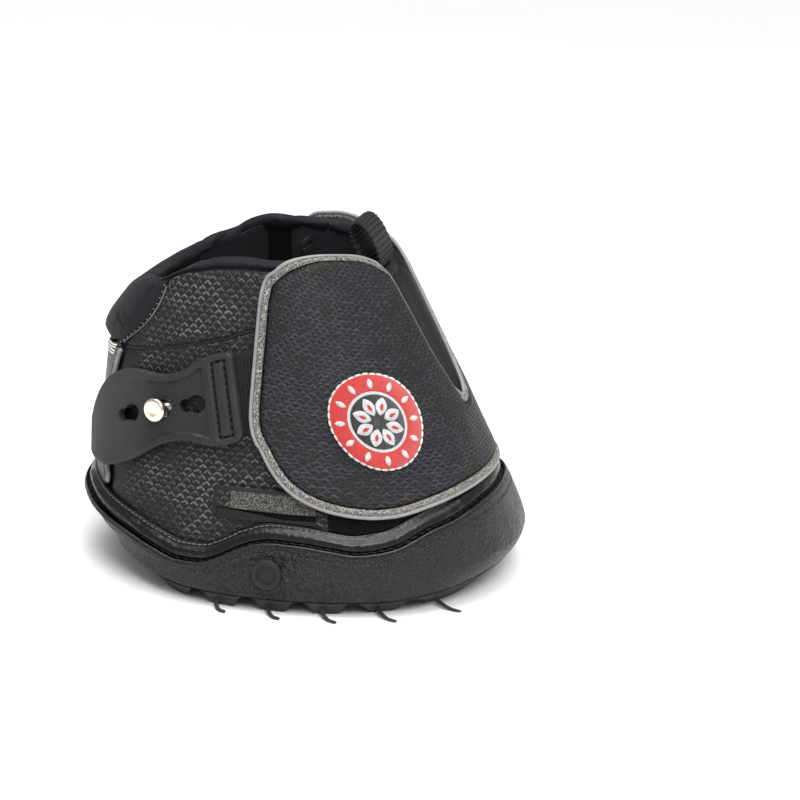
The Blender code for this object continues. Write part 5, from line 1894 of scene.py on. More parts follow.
@dataclass
class Upper:
    """Side panels, toe panel, gusset, heel strip, seams and the low strip on the closure side."""

    thickness: float = 0.0015
    vamp_inner: float = -43.0
    vamp_outer: float = 47.0
    vamp_top: float = 0.0620
    panel_gap: float = 0.0004
    seam_gap: float = 0.0008
    strip_top: float = 0.0870
    border_turn: float = 142.0
    border_bulge: float = 6.0
    pad_foot: float = 145.0
    pad_shoulder: float = 124.0
    piping_radius: float = 0.0014
    piping_clear: float = 0.0003
    border_sag: float = 0.0028
    low_front: float = 76.0
    low_change: float = 94.6
    low_rear: float = 98.5
    low_top: float = 0.0450
    patch_top: float = 0.0680
    hook_front: float = 22.0
    hook_rear: float = 73.0
    pile_foot: float = 0.040
    pile_height: float = 0.028

    def heel_border(self, height: float) -> float:
        """The turn of the heel strip's border at a height."""
        share = clamp((height - LINES.sole_height) / (self.strip_top - LINES.sole_height), 0.0, 1.0)
        return self.border_turn + self.border_bulge * sin(pi * share) ** 0.7

    def pad_border(self, height: float) -> float:
        """The turn where the side panels end and the heel pad starts.

        Args:
            height: Height, in metres.

        Returns:
            The turn.
        """
        low, high = self.strip_top, LINES.rim(self.pad_shoulder)
        share = clamp((height - low) / (high - low), 0.0, 1.0)
        return lerp(self.pad_foot, self.pad_shoulder, 1 - (1 - share) ** 2.2)

    def sag(self, turn: float) -> float:
        """How far the border between heel strip and heel pad dips behind its corners."""
        return self.border_sag * ease(147, 165, fold_turn(turn))

    def degrees(self, length: float, turn: float, height: float) -> float:
        """How many degrees of turn a length takes."""
        return length / WALL.degree_length(turn, height)

    def rear_border(self, height: float) -> float:
        """The rear edge of the side panels.

        Args:
            height: Height, in metres.

        Returns:
            The turn.
        """
        if height > self.strip_top:
            return self.pad_border(height)
        border = self.heel_border(height)
        return border - self.degrees(self.piping_radius + self.piping_clear, border, height)

    def groove(self, turn: float, height: float) -> float:
        """Offset of the panels' face: sewn down at the cross seam and under the collar, with puckers.

        Args:
            turn: Turn in degrees.
            height: Height, in metres.

        Returns:
            The offset.
        """
        seam = abs(height - LINES.seam(turn))
        pucker = 0.00013 * sin(turn * 5.3 + sin(turn * 1.7) * 2)
        low = -0.0010 * exp(-(seam / 0.0010) ** 2) + pucker * exp(-(seam / 0.0035) ** 2)
        top = LINES.panel_top(turn) - height
        high = (-0.0006 * exp(-(top / 0.0012) ** 2) + 0.00013 * sin(turn * 4.1) * exp(-(top / 0.003) ** 2))
        heel = self.rear_border(height) - fold_turn(turn)
        edge = -0.0005 * exp(-(heel / 1.3) ** 2)
        slow = 0.00025 * sin(turn * 0.21 + height * 60) * sin(height * 95 + 1.0)
        crease = 0.0
        if height > LINES.seam(turn):
            crease = -0.0005 * exp(-((fold_turn(turn) - 98.2) / 0.5) ** 2)
        return low + high + edge + slow + crease

    def side_panels(self) -> None:
        """Lower and upper side panel on each side, in embossed leather."""
        for side, label, front in ((1, "outer", self.vamp_outer), (-1, "inner", -self.vamp_inner)):
            start = front + self.degrees(self.panel_gap, front, LINES.sole_height)

            def lower(u: float, v: float) -> Pair:
                """Turn and height on the lower panel.

                Args:
                    u: Share along u, 0 to 1.
                    v: Share along v, 0 to 1.

                Returns:
                    Turn and height.
                """
                guess = lerp(LINES.panel_foot(self.border_turn), self.strip_top, v)
                turn = lerp(start, self.rear_border(guess), u if side > 0 else 1 - u)
                return side * turn, lerp(LINES.panel_foot(turn), LINES.seam(turn) - self.seam_gap / 2, v)

            def upper(u: float, v: float) -> Pair:
                """Turn and height on the upper panel.

                Args:
                    u: Share along u, 0 to 1.
                    v: Share along v, 0 to 1.

                Returns:
                    Turn and height.
                """
                guess = lerp(LINES.seam(self.pad_shoulder), LINES.panel_top(self.pad_shoulder), v)
                turn = lerp(start, self.pad_border(guess), u if side > 0 else 1 - u)
                low = LINES.seam(turn) + self.seam_gap / 2
                return side * turn, lerp(low, LINES.panel_top(side * turn), v)

            for place, height, rows in ((lower, "lower", 84), (upper, "upper", 34)):
                sheet = wall_sheet(f"{label}_{height}_panel_leather", 130, rows, place, self.groove,
                                   self.thickness, 0.0003)
                BENCH.finish(sheet, LEATHER, Body.BOOT, f"{label}_side_panel_{height}")

    def seams(self) -> None:
        """Rows of stitches along the cross seams and under the collar, and a few loose thread ends."""
        for side, label in SIDES:
            turns = [side * (self.vamp_outer + 1 + step) for step in range(96)]
            places = [(turn, LINES.seam(turn)) for turn in turns if abs(turn) < 143]
            cord = swept(f"{label}_cross_seam_cord", Path.on_wall(places, -0.0009), 0.0006, 0.0005, 8)
            BENCH.finish(cord, BLACK_THREAD, Body.BOOT)
            for name, lift in (("upper", 0.0017), ("lower", -0.0017)):
                moved = [(turn, height + lift) for turn, height in places]
                sew(f"{label}_{name}_seam_stitches", Path.on_wall(moved, self.stitch_face), 0.0022, 0.0012,
                    0.00026, 0.00022, wander=0.0001)
        places = [(turn, LINES.panel_top(turn) - 0.0016) for turn in range(-180, 180)]
        for side, label in SIDES:
            half = [place for place in places if 47 < place[0] * side < self.pad_shoulder]
            sew(f"{label}_collar_stitches", Path.on_wall(half, self.stitch_face), 0.0019, 0.0009, 0.00024,
                0.00022, wander=0.00015)
        self.loose_ends()

    def stitch_face(self, turn: float, height: float) -> float:
        """Offset where a stitch lies on the panels."""
        return self.groove(turn, height) + 0.00006

    def loose_ends(self) -> None:
        """Short frayed thread ends along the collar seam."""
        pick = random.Random(7)
        ends = []
        for side in (1, -1):
            for number in range(34):
                turn = side * pick.uniform(52, 122)
                height = LINES.panel_top(turn) - pick.uniform(0.0008, 0.0024)
                across, up = pick.uniform(-0.0014, 0.0014), -pick.uniform(0.0002, 0.0016)
                points = []
                for step in range(5):
                    share = step / 4
                    here = WALL.walk(turn, height, across * share, up * share)
                    lift = 0.0002 + 0.0007 * sin(pi * share) * pick.uniform(0.6, 1.0)
                    points.append(WALL.point(*here, lift))
                path = Path(points, [WALL.normal(turn, height)] * 5)
                ends.append(swept(f"end_{side}_{number}", path, 0.0001, 0.0001, 5, ends=0.0))
        BENCH.finish(BENCH.joined("collar_thread_ends", ends), GREY_THREAD, Body.BOOT)

    def toe(self) -> None:
        """Toe panel and the stretch gusset behind the flap's notch."""
        vamp = strip_place(self.vamp_inner, self.vamp_outer, LINES.panel_foot, lambda turn: self.vamp_top)
        sheet = wall_sheet("toe_panel_leather", 90, 24, vamp, lambda turn, height: 0.0, self.thickness)
        BENCH.finish(sheet, LEATHER, Body.BOOT, "vamp")
        foot = self.vamp_top + self.panel_gap

        def face(turn: float, height: float) -> float:
            """Stretch cloth that swells out to meet the notch's edges.

            Args:
                turn: Turn in degrees.
                height: Height, in metres.

            Returns:
                The offset.
            """
            side = ease(self.vamp_inner + 1, self.vamp_inner + 15, turn) * ease(self.vamp_outer - 1, 28, turn)
            full = 0.0023 + 0.0013 * ease(2, -10, turn)
            top = LINES.rim(turn) - 0.0012
            return full * side * ease(foot, foot + 0.009, height) * ease(top + 0.0008, top - 0.0030, height)

        gusset = strip_place(self.vamp_inner, self.vamp_outer, lambda turn: foot,
                             lambda turn: LINES.rim(turn) - 0.0012)
        sheet = wall_sheet("gusset_cloth", 80, 40, gusset, face, 0.0012)
        BENCH.finish(sheet, STRETCH, Body.BOOT, "front_gusset")

    def heel(self) -> None:
        """Heel strip with its two-part pipings and bartacks."""
        def strip(u: float, v: float) -> Pair:
            """Turn and height on the heel strip.

            Args:
                u: Share along u, 0 to 1.
                v: Share along v, 0 to 1.

            Returns:
                Turn and height.
            """
            height = lerp(LINES.panel_foot(180), self.strip_top, v)
            border = self.heel_border(height)
            start = border + self.degrees(self.piping_radius + self.piping_clear, border, height)
            turn = lerp(start, 360 - start, u)
            return turn, height - v * self.sag(turn)

        sheet = wall_sheet("heel_strip_cloth", 60, 50, strip, lambda turn, height: 0.0009, self.thickness)
        BENCH.finish(sheet, HEEL_TAPE, Body.BOOT, "heel_strip")
        low = LINES.welt_top(self.border_turn) + 0.0012
        heights = [lerp(low, self.strip_top - 0.0008, step / 60) for step in range(61)]
        for side, label in SIDES:
            def shifted(length: float) -> list[Pair]:
                """The border moved a length towards the heel."""
                return [(side * (self.heel_border(h) + self.degrees(length, self.heel_border(h), h)), h)
                        for h in heights]
            cord = swept(f"heel_{label}_cord", Path.on_wall(shifted(-0.0008), 0.0010), 0.0009, 0.0009, 12)
            BENCH.finish(cord, CORD, Body.BOOT, f"heel_piping_{label}")
            tape = swept(f"heel_{label}_tape", Path.on_wall(shifted(0.0011), 0.0012), 0.0012, 0.0008, 12, 2.6)
            BENCH.finish(tape, HEEL_TAPE, Body.BOOT)
            sew(f"heel_{label}_stitches", Path.on_wall(shifted(0.0024), 0.0012), 0.0021, 0.0008, 0.00025,
                0.00025)
        self.bartacks()

    def bartacks(self) -> None:
        """Thick white thread loops that hold the heel strip's upper corners."""
        for turn, label in ((151.0, "outer"), (209.0, "inner")):
            threads = []
            for number in range(4):
                height = self.strip_top - 0.0022 + (number - 1.5) * 0.0011
                places = [WALL.walk(turn, height, across, 0.00015 * sin(number * 2.1 + across * 900))
                          for across in (x * 0.00085 - 0.0051 for x in range(13))]
                path = Path.on_wall(places, 0.0017).resampled(0.0005)
                centre = len(path.points) / 2
                path.points = [point + normal * (0.0007 * (1 - ((i - centre) / centre) ** 4) - 0.0006)
                               for i, (point, normal) in enumerate(zip(path.points, path.normals))]
                threads.append(swept(f"thread_{label}_{number}", path, 0.00034, 0.0003, 8, ends=1.0))
            BENCH.finish(BENCH.joined(f"heel_bartack_thread_{label}", threads), WHITE_THREAD, Body.BOOT,
                         f"heel_bartack_{label}")

    def overlay(self) -> None:
        """Low strip in front of the closure: a sewn upper part with a loose lower edge, and a narrow foot."""
        start, change, end, top = self.low_front, self.low_change, self.low_rear, self.low_top

        def foot(turn: float) -> float:
            """The strip's lowest line, over the welt."""
            return max(LINES.welt_top(turn), 0.0330) + 0.0003

        def slit(turn: float) -> float:
            """The loose lower edge of the upper part."""
            return lerp(foot(turn) + 0.0040, 0.0372, ease(98, 84, turn))

        def face(turn: float, height: float) -> float:
            """The strip's face, lifting at the loose edge."""
            loose = ease(95.5, 80, turn) * exp(-((height - slit(turn)) / 0.0025) ** 2)
            return 0.0013 + 0.0006 * loose

        parts = (("tape", 70, 22, strip_place(start, change, slit, lambda turn: top), face, 0.0011, 0.0002,
             STRIP_LEATHER, ("overlay_strip",)),
            ("leather", 20, 22, strip_place(change + 0.02, end, slit, lambda turn: top), face, 0.0011, 0.0002,
             LEATHER, ()),
            ("foot", 60, 6, strip_place(start, end, foot, lambda turn: slit(turn) - 0.0002 - 0.0022
                                        * ease(97, 83, turn)), lambda turn, height: 0.0009, 0.0008, 0.0002,
             PLAIN_LEATHER, ()),
            ("underlay", 40, 6, strip_place(start, end - 1.0, foot, lambda turn: slit(turn) + 0.0020),
             lambda turn, height: 0.00025, 0.0004, 0.0, LINING, ()))
        for name, columns, rows, place, outer, thickness, rim, finish, stands_for in parts:
            sheet = wall_sheet(f"low_strip_{name}", columns, rows, place, outer, thickness, rim)
            BENCH.finish(sheet, finish, Body.BOOT, *stands_for)
        places = [(lerp(start, end - 0.5, step / 30), top - 0.0006) for step in range(31)]
        places += [(end - 0.5, lerp(top - 0.0010, foot(end) + 0.0006, step / 14)) for step in range(15)]
        binding = swept("low_strip_binding", Path.on_wall(places, 0.0013), 0.0008, 0.0003, 8)
        BENCH.finish(binding, BLACK_THREAD, Body.BOOT)
        sew("low_strip_stitches", Path.on_wall(places, 0.0016), 0.0017, 0.0005, 0.0003, 0.00028)

    def hooks(self) -> None:
        """Hook patch with a ragged pile face, under the flap's foot."""
        pick = random.Random(11)
        table = [[pick.uniform(0, 1) for _ in range(41)] for _ in range(241)]

        def face(turn: float, height: float) -> float:
            """The pile's rough face.

            Args:
                turn: Turn in degrees.
                height: Height, in metres.

            Returns:
                The offset.
            """
            u = int(clamp((turn - self.hook_front) / (self.hook_rear - self.hook_front), 0, 1) * 240)
            v = int(clamp((height - self.pile_foot) / self.pile_height, 0, 1) * 40)
            return 0.0008 + 0.0006 * table[u][v]

        place = strip_place(self.hook_front, self.hook_rear, lambda turn: LINES.welt_top(turn) + 0.0003,
                            lambda turn: self.patch_top)
        sheet = wall_sheet("hook_patch_pile", 240, 40, place, face, 0.0008, 0.0)
        BENCH.finish(sheet, PILE, Body.BOOT, "hook_patch", angle=80)

    def build(self) -> None:
        """Build every piece of the upper."""
        self.side_panels()
        self.seams()
        self.toe()
        self.heel()
        self.overlay()
        self.hooks()


@dataclass
class Collar:
    """Padded roll round the mouth, the heel pad drawn over it and the neoprene sock inside."""

    radius: float = 0.0028
    seat: float = 0.0003
    thin: float = 0.0014
    liner_outer: float = -0.0021
    recess: float = -0.0030
    fold: float = 107.0
    front_fold: float = 97.5
    pad_rise: float = 0.0020
    pad_wrap: float = 0.0036
    seam_spread: int = 38

    def thinned(self, turn: float) -> float:
        """How far the roll is pressed flat: fully on the closure side, not on the other."""
        turn = turn if turn <= 180 else turn - 360
        return ease(34, 46, turn) if turn > 0 else ease(160, 178, -turn)

    def lift(self, turn: float) -> float:
        """How far the padded rim stands above its seam line on the inner side of the heel.

        Args:
            turn: Turn in degrees.

        Returns:
            The rise.
        """
        turn = turn if turn <= 180 else turn - 360
        risen = 0.0010 * ease(-96, -108, turn) + 0.0020 * ease(-117, -133, turn)
        return risen + 0.0006 * ease(-140, -155, turn) - 0.0016 * ease(-158, -180, turn)

    def half_height(self, turn: float) -> float:
        """Half the roll's height at a turn.

        Args:
            turn: Turn in degrees.

        Returns:
            The half height.
        """
        full = lerp(self.radius, self.thin, self.thinned(turn)) + self.lift(turn) / 2
        side = turn if turn <= 180 else turn - 360
        return lerp(full, 0.0006, ease(106, 124, side) * ease(178, 150, side))

    def middle(self, turn: float) -> float:
        """Height of the roll's middle, whose foot stays on the panels."""
        return LINES.panel_top(turn) + 0.0007 + self.half_height(turn)

    def roll(self) -> None:
        """Padded roll with the cloth drawn over it in slow ripples."""
        count = 26

        def ring(number: int) -> Ring:
            """One line along the roll at an angle of its section.

            Args:
                number: Which of the lines.

            Returns:
                A function from turn to point.
            """
            angle = 2 * pi * number / count

            def at(turn: float) -> Vector:
                """The roll's point at a turn.

                Args:
                    turn: Turn in degrees.

                Returns:
                    The point.
                """
                ripple = 1 + 0.03 * sin(turn * 0.9 + 2 * sin(turn * 0.23)) * (1 - sin(angle)) / 2
                x = cos(angle) * self.radius * ripple
                z = sin(angle) * self.half_height(turn)
                return WALL.point(turn, self.middle(turn) + z, -self.radius - self.seat + x)
            return at

        roll = ring_loft("collar_roll_cloth", 300, [ring(number) for number in range(count)], closed=True)
        seams = nearest([WALL.point(turn, self.middle(turn) - self.half_height(turn), -self.seat)
                         for turn in range(360)])
        BENCH.puff(roll, lambda place: ease(0.0012, 0.0045, seams.find(place)[2]))
        BENCH.finish(roll, NEOPRENE, Body.BOOT, "collar_roll", angle=80)

    def pad_top(self, turn: float) -> float:
        """Height of the heel pad's top, a little above the rim at the heel.

        Args:
            turn: Turn in degrees.

        Returns:
            The height.
        """
        if turn > 180:
            return LINES.rim(turn) + self.lift(turn) + 0.0003
        return LINES.rim(turn) + lerp(-0.0024, self.pad_rise + 0.0003, ease(124, 146, turn))

    def heel_pad(self) -> None:
        """Padded stretch panel over the heel strip, drawn over the rim and down inside."""
        low = UPPER.strip_top + 0.0008
        wall_share, arc_share = 0.60, 0.88

        def place(u: float, v: float) -> Pair:
            """Turn and height on the pad; past the top, how far round.

            Args:
                u: Share along u, 0 to 1.
                v: Share along v, 0 to 1.

            Returns:
                Turn and height.
            """
            share = min(v / wall_share, 1.0)
            guess = lerp(low, LINES.panel_top(UPPER.pad_shoulder), share)
            start = UPPER.pad_border(guess) + UPPER.degrees(0.0008, UPPER.pad_shoulder, guess)
            turn = lerp(start, 360 - start, u)
            return turn, lerp(low - UPPER.sag(turn), self.pad_top(turn) - self.pad_wrap, share)

        def spot(u: float, v: float) -> Vector:
            """The pad's crowned face, its turned top or its inner end.

            Args:
                u: Share along u, 0 to 1.
                v: Share along v, 0 to 1.

            Returns:
                The point.
            """
            turn, height = place(u, v)
            side = 1 - abs(2 * u - 1) ** 6
            rise = min(v / wall_share, 1.0)
            face = -0.0006 + side * (1 - (1 - rise) ** 5) * (0.0024 + 0.0016 * sin(pi * rise ** 0.6))
            if v <= wall_share:
                return WALL.point(turn, height, face)
            inside = -2 * self.radius - self.seat - 0.0003 + 0.0014 * (1 - side)
            centre, reach = (face + inside) / 2, (face - inside) / 2
            if v <= arc_share:
                angle = pi * (v - wall_share) / (arc_share - wall_share)
                return WALL.point(turn, height + self.pad_wrap * sin(angle), centre + reach * cos(angle))
            down = 0.0060 * (v - arc_share) / (1 - arc_share)
            return WALL.point(turn, height - down, inside + 0.0010 * down / 0.0060)

        def pattern(u: float, v: float) -> Vector:
            """The pad's own map, in metres across and along the cloth."""
            turn, _ = place(u, v)
            return Vector((WALL.arc(turn) if turn <= 180 else 0.36 - WALL.arc(360 - turn), v * 0.040, 0.0))

        pad = BENCH.formed("heel_pad_cloth", 110, 56, spot, pattern)
        bounds = bmesh.new()
        bounds.from_mesh(pad.data)
        edge = nearest([vertex.co.copy() for vertex in bounds.verts if vertex.is_boundary])
        bounds.free()
        BENCH.puff(pad, lambda place: ease(0.0010, 0.0070, edge.find(place)[2]), most=0.0006)
        BENCH.thicken(pad, 0.0010, 0.0003)
        BENCH.finish(pad, PAD_CLOTH, Body.BOOT, "heel_pad", angle=70)
        for side, label in SIDES:
            places = []
            for step in range(41):
                guess = lerp(low, LINES.panel_top(UPPER.pad_shoulder), step / 40)
                turn = UPPER.pad_border(guess)
                places.append((side * turn, lerp(low, self.pad_top(turn) - self.pad_wrap, step / 40)))
            cord = swept(f"heel_pad_{label}_edge", Path.on_wall(places, -0.0001), 0.00025, 0.00025, 6)
            BENCH.finish(cord, GREY_THREAD, Body.BOOT)
            beside = [(turn + side * 0.9, height) for turn, height in places]
            sew(f"heel_pad_{label}_stitches", Path.on_wall(beside, 0.0003), 0.0010, 0.0016, 0.00022, 0.0002,
                thread=GREY_THREAD, turn=1.1, wander=0.0001)

    def liner(self) -> None:
        """Neoprene sock, padded round the heel up to a soft fold on each side, in neoprene painted lighter as
        painted light.
        """
        def inner(turn: float, share: float) -> float:
            """Offset of the sock's inner face: flush with the roll behind the fold, set back in front.

            Args:
                turn: Turn in degrees.
                share: Share of the way, 0 to 1.

            Returns:
                The offset.
            """
            folded = fold_turn(turn)
            front = 0.7 * ease(self.front_fold + 2.0, self.front_fold - 3.0, folded)
            thick = max(ease(self.fold - 2.0, self.fold + 2.5, folded), front)
            flush = -2 * self.radius - self.seat
            soft = 0.0004 * sin(turn * 0.21 + 3 * sin(turn * 0.05)) * sin(pi * share)
            return lerp(self.recess, flush + 0.0005 * ease(0.9, 0.2, share), thick) + soft

        def ring(outside: bool, share: float) -> Ring:
            """A ring at a share of the sock's height."""
            return lambda turn: WALL.point(turn, lerp(LINES.panel_foot(turn), self.middle(turn), share),
                                           self.liner_outer if outside else inner(turn, share))

        shares = [step / 20 for step in range(21)]
        rings = [ring(False, share) for share in shares] + [ring(True, share) for share in reversed(shares)]
        liner = ring_loft("neoprene_sock", 300, rings, closed=True)
        # the sock in a lighter copy of the neoprene: painted light
        BENCH.finish(liner, NEOPRENE_PAINTED_LIGHT, Body.BOOT, "neoprene_liner", angle=70)
        # A dark lining sheet over each hollow in front of the fold: painted shade in the recess.
        for side, label in SIDES:
            ends = sorted((side * self.fold, side * (self.front_fold + 0.5)))
            hollow = strip_place(*ends, lambda turn: LINES.panel_foot(turn) + 0.004,
                                 lambda turn: self.middle(turn) - 0.0008)
            band = wall_sheet(f"sock_hollow_painted_shade_{label}", 12, 20, hollow,
                              lambda turn, height: self.recess + 0.0001, 0.0005)
            BENCH.finish(band, LINING, Body.BOOT)
        for index, turn in enumerate((180 - self.seam_spread, 180 + self.seam_spread)):
            places = [(turn, lerp(LINES.panel_foot(turn) + 0.002, LINES.panel_top(turn) - 0.004, step / 40))
                      for step in range(41)]
            path = Path.on_wall(places, -2 * self.radius - self.seat - 0.0001)
            path.normals = [-normal for normal in path.normals]
            sew(f"sock_seam_stitches_{index + 1}", path, 0.0022, 0.0008, 0.0005, 0.0003, turn=0.5)

    def build(self) -> None:
        """Build the roll, the pad and the sock."""
        self.roll()
        self.heel_pad()
        self.liner()


@dataclass
class FrontFlap:
    """One leather shell from the inner side round the toe: fixed shield, soft fold, and the opening flap."""

    leather: float = 0.0052
    leather_thickness: float = 0.0014
    lining: float = 0.0035
    lining_thickness: float = 0.0008
    padding: float = 0.0035
    piping_radius: float = 0.0018
    piping_seat: float = 0.0005
    cord_radius: float = 0.00078
    tape_half: float = 0.00125
    tape_height: float = 0.0010
    bend_start: float = 0.0
    bend_end: float = 0.0100
    patch_front: float = 25.0
    patch_rear: float = 70.0
    columns: tuple[float, ...] = (
        -95, -93.4, -91, -88, -84, -78, -72, -66, -60, -54, -48, -43, -38.5, -34.5, -31, -28, -25.5, -23,
        -20.5, -18, -15.5, -13, -10.5, -8, -5.5, -3, 0, 3, 6, 8, 10, 11.7, 13.2, 14.6, 16, 17.4, 18.8, 20.2,
        21.6, 23.2, 25.2, 28, 32, 37, 43, 49, 55, 61, 67, 73, 78.5, 83, 86.5, 89.2, 91.1, 92)
    cache: dict = field(default_factory=dict)

    def fine(self, start: float, end: float, parts: int = 3) -> list[float]:
        """The columns between two turns, each split into parts.

        Args:
            start: First turn.
            end: Last turn.
            parts: Parts of each column.

        Returns:
            The finer columns.
        """
        kept = [turn for turn in self.columns if start - 1e-6 <= turn <= end + 1e-6]
        out = []
        for here, there in zip(kept, kept[1:]):
            out += [lerp(here, there, part / parts) for part in range(parts)]
        return out + [kept[-1]]

    def even(self, run: Sequence[Pair], step: float, times: int) -> list[Pair]:
        """Resample a closed run of places to even steps and relax it.

        Args:
            run: Places in turn and height.
            step: Length of a step.
            times: How often it is relaxed.

        Returns:
            The new run.
        """
        count = len(run)
        points = [WALL.point(*place) for place in run]
        lengths = [0.0]
        for index in range(count):
            lengths.append(lengths[-1] + (points[(index + 1) % count] - points[index]).length)
        total = round(lengths[-1] / step)
        out, index = [], 0
        for number in range(total):
            at = lengths[-1] * number / total
            while lengths[index + 1] < at:
                index += 1
            share = (at - lengths[index]) / max(lengths[index + 1] - lengths[index], 1e-9)
            here, there = run[index], run[(index + 1) % count]
            out.append((lerp(here[0], there[0], share), lerp(here[1], there[1], share)))
        return self.relaxed(out, times)

    @staticmethod
    def relaxed(run: list[Pair], times: int, beyond: float = -1.0) -> list[Pair]:
        """A closed run with its corners relaxed, where its turn is beyond a limit.

        Args:
            run: Places in turn and height.
            times: How often it is relaxed.
            beyond: Turn past which it is relaxed.

        Returns:
            The relaxed run.
        """
        for _ in range(times):
            around = zip(run[-1:] + run[:-1], run, run[1:] + run[:1])
            run = [tuple(0.25 * a + 0.5 * b + 0.25 * c for a, b, c in zip(*three))
                   if abs(three[1][0]) > beyond else three[1] for three in around]
        return run

    def base(self) -> list[Pair]:
        """The shell's outer edge as a closed run: foot, flap's rear, top, shield's rear."""
        if "base" not in self.cache:
            turns = self.fine(-95, 92, 6)
            low = [(turn, LINES.flap_foot(turn)) for turn in turns]
            high = [(turn, LINES.flap_top(turn)) for turn in turns]

            def rise(foot: Pair, head: Pair) -> list[Pair]:
                """The straight run between two corners."""
                return [(lerp(foot[0], head[0], step / 24), lerp(foot[1], head[1], step / 24))
                        for step in range(1, 24)]
            run = low + rise(low[-1], high[-1]) + high[::-1] + rise(high[0], low[0])
            run = self.relaxed(self.even(run, 0.0008, 3), 26, 55)
            self.cache["base"] = self.even(run, 0.0008, 2)
        return self.cache["base"]

    @staticmethod
    def narrow(turn: float, height: float) -> float:
        """The piping's share of its width: only a thin thread edge beside the notch on the flap.

        Args:
            turn: Turn in degrees.
            height: Height, in metres.

        Returns:
            The share.
        """
        if height < 0.066:
            return 1.0
        top = lerp(1.0, 0.66, ease(17, 26, turn) * ease(84, 62, turn))
        return lerp(top, 0.26, ease(1.5, 4.5, turn) * ease(22.5, 17.0, turn))

    def loop(self, inset: float) -> list[Pair]:
        """The outer edge moved inwards by a length, along the wall, with no folded-back corners.

        Args:
            inset: Distance from the outer edge.

        Returns:
            The moved run.
        """
        key = round(inset, 6)
        if key in self.cache:
            return self.cache[key]
        base = self.base()
        count = len(base)
        tree = nearest([WALL.point(*place) for place in base])
        kept = []
        for index, (turn, height) in enumerate(base):
            before, after = base[index - 1], base[(index + 1) % count]
            across = (after[0] - before[0]) * WALL.degree_length(turn, height)
            up = (WALL.point(turn, after[1]) - WALL.point(turn, before[1])).length
            up = copysign(up, after[1] - before[1])
            far = inset * self.narrow(turn, height) / hypot(across, up)
            place = WALL.walk(turn, height, -up * far, across * far)
            if tree.find(WALL.point(*place))[2] > 0.93 * inset * self.narrow(turn, height):
                kept.append(place)
        self.cache[key] = self.even(kept, 0.0008, 3)
        return self.cache[key]

    def chains(self, inset: float) -> tuple[Table, Table]:
        """The lower and the upper edge at an inset, as tables of height over turn.

        Args:
            inset: Distance from the outer edge.

        Returns:
            Both tables.
        """
        key = ("chains", round(inset, 6))
        if key not in self.cache:
            run = self.loop(inset)
            count = len(run)
            rear = min(range(count), key=lambda i: abs(run[i][1] - 0.090) + (0 if run[i][0] > 80 else 9))
            front = min(range(count), key=lambda i: abs(run[i][1] - 0.085) + (0 if run[i][0] < -85 else 9))
            low = [run[(front + i) % count] for i in range((rear - front) % count + 1)]
            high = [run[(rear + i) % count] for i in range((front - rear) % count + 1)][::-1]
            first = min(place[0] for place in run) + 0.05
            last = max(place[0] for place in run) - 0.05
            out = []
            for chain in (low, high):
                table = [place for place in chain if first < place[0] < last]
                rising = [table[0]]
                for place in table[1:]:
                    if place[0] > rising[-1][0] + 1e-6:
                        rising.append(place)
                out.append(rising)
            self.cache[key] = tuple(out)
        return self.cache[key]

    @staticmethod
    def along(table: Table, turn: float) -> float:
        """Height of an edge table at a turn.

        Args:
            table: The edge table.
            turn: Turn in degrees.

        Returns:
            The height.
        """
        index = bisect.bisect_left(table, (turn, 0.0))
        if index == 0:
            return table[0][1]
        if index == len(table):
            return table[-1][1]
        (x0, y0), (x1, y1) = table[index - 1], table[index]
        return lerp(y0, y1, (turn - x0) / (x1 - x0))

    def place(self, columns: Sequence[float], inset: float) -> Place:
        """Place function of a sheet between the inset edges, with close rows near them.

        Args:
            columns: Turns of the columns.
            inset: Distance from the outer edge.

        Returns:
            A function from u and v to turn and height.
        """
        count = len(columns) - 1
        low, high = self.chains(inset)
        first, last = low[0][0], low[-1][0]

        def at(u: float, v: float) -> Pair:
            """Turn and height for u and v.

            Args:
                u: Share along u, 0 to 1.
                v: Share along v, 0 to 1.

            Returns:
                Turn and height.
            """
            turn = columns[round(u * count)]
            if turn > 0:
                turn *= last / LINES.flap_rear
            elif turn < LINES.fold:
                turn = lerp(first, LINES.fold, (turn - LINES.shield_rear) / (LINES.fold - LINES.shield_rear))
            v -= 0.8 * sin(2 * pi * v) / (2 * pi)
            return turn, lerp(self.along(low, turn), self.along(high, turn), v)
        return at

    def bend(self, piece: Piece) -> None:
        """Bake a piece's placement into its mesh; it is not bent over the fold between boot and flap.

        Args:
            piece: The piece.
        """
        fold = WALL.point(LINES.fold, 0.085, self.leather)
        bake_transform(piece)

    def face(self, turn: float, height: float) -> float:
        """The leather's face: sunk beside the piping, with slow slackness and a slight crease at the fold.

        Args:
            turn: Turn in degrees.
            height: Height, in metres.

        Returns:
            The offset.
        """
        inset = 2 * self.piping_radius + self.piping_seat
        if "border" not in self.cache:
            run = self.even(self.loop(inset), 0.0004, 0)
            self.cache["border"] = nearest([WALL.point(*place) for place in run]), run
        tree, run = self.cache["border"]
        _, index, near = tree.find(WALL.point(turn, height))
        groove = -0.0010 * self.narrow(*run[index]) * exp(-(near / 0.0010) ** 2)
        slack = 0.00040 * sin(turn * 0.13 + 1.0) * sin(height * 70 + turn * 0.05)
        dent = 0.00018 * sin(turn * 0.31 + height * 130) * sin(turn * 0.17 - height * 90 + 2.0)
        crease = -0.0003 * exp(-((turn - LINES.fold) / 1.6) ** 2)
        return self.leather + groove + (slack + dent) * ease(0.0, 0.008, near) + crease

    def shell(self) -> None:
        """Leather from the shield's rear edge to the flap's, in one sheet."""
        columns = self.fine(-95, 92, 4)
        place = self.place(columns, 2 * self.piping_radius + self.piping_seat)
        sheet = wall_sheet("front_shell_leather", len(columns) - 1, 64, place, self.face,
                           self.leather_thickness, 0.0003)
        BENCH.finish(sheet, FLAP_LEATHER, None, "front_flap", "shield_panel")
        self.bend(sheet)

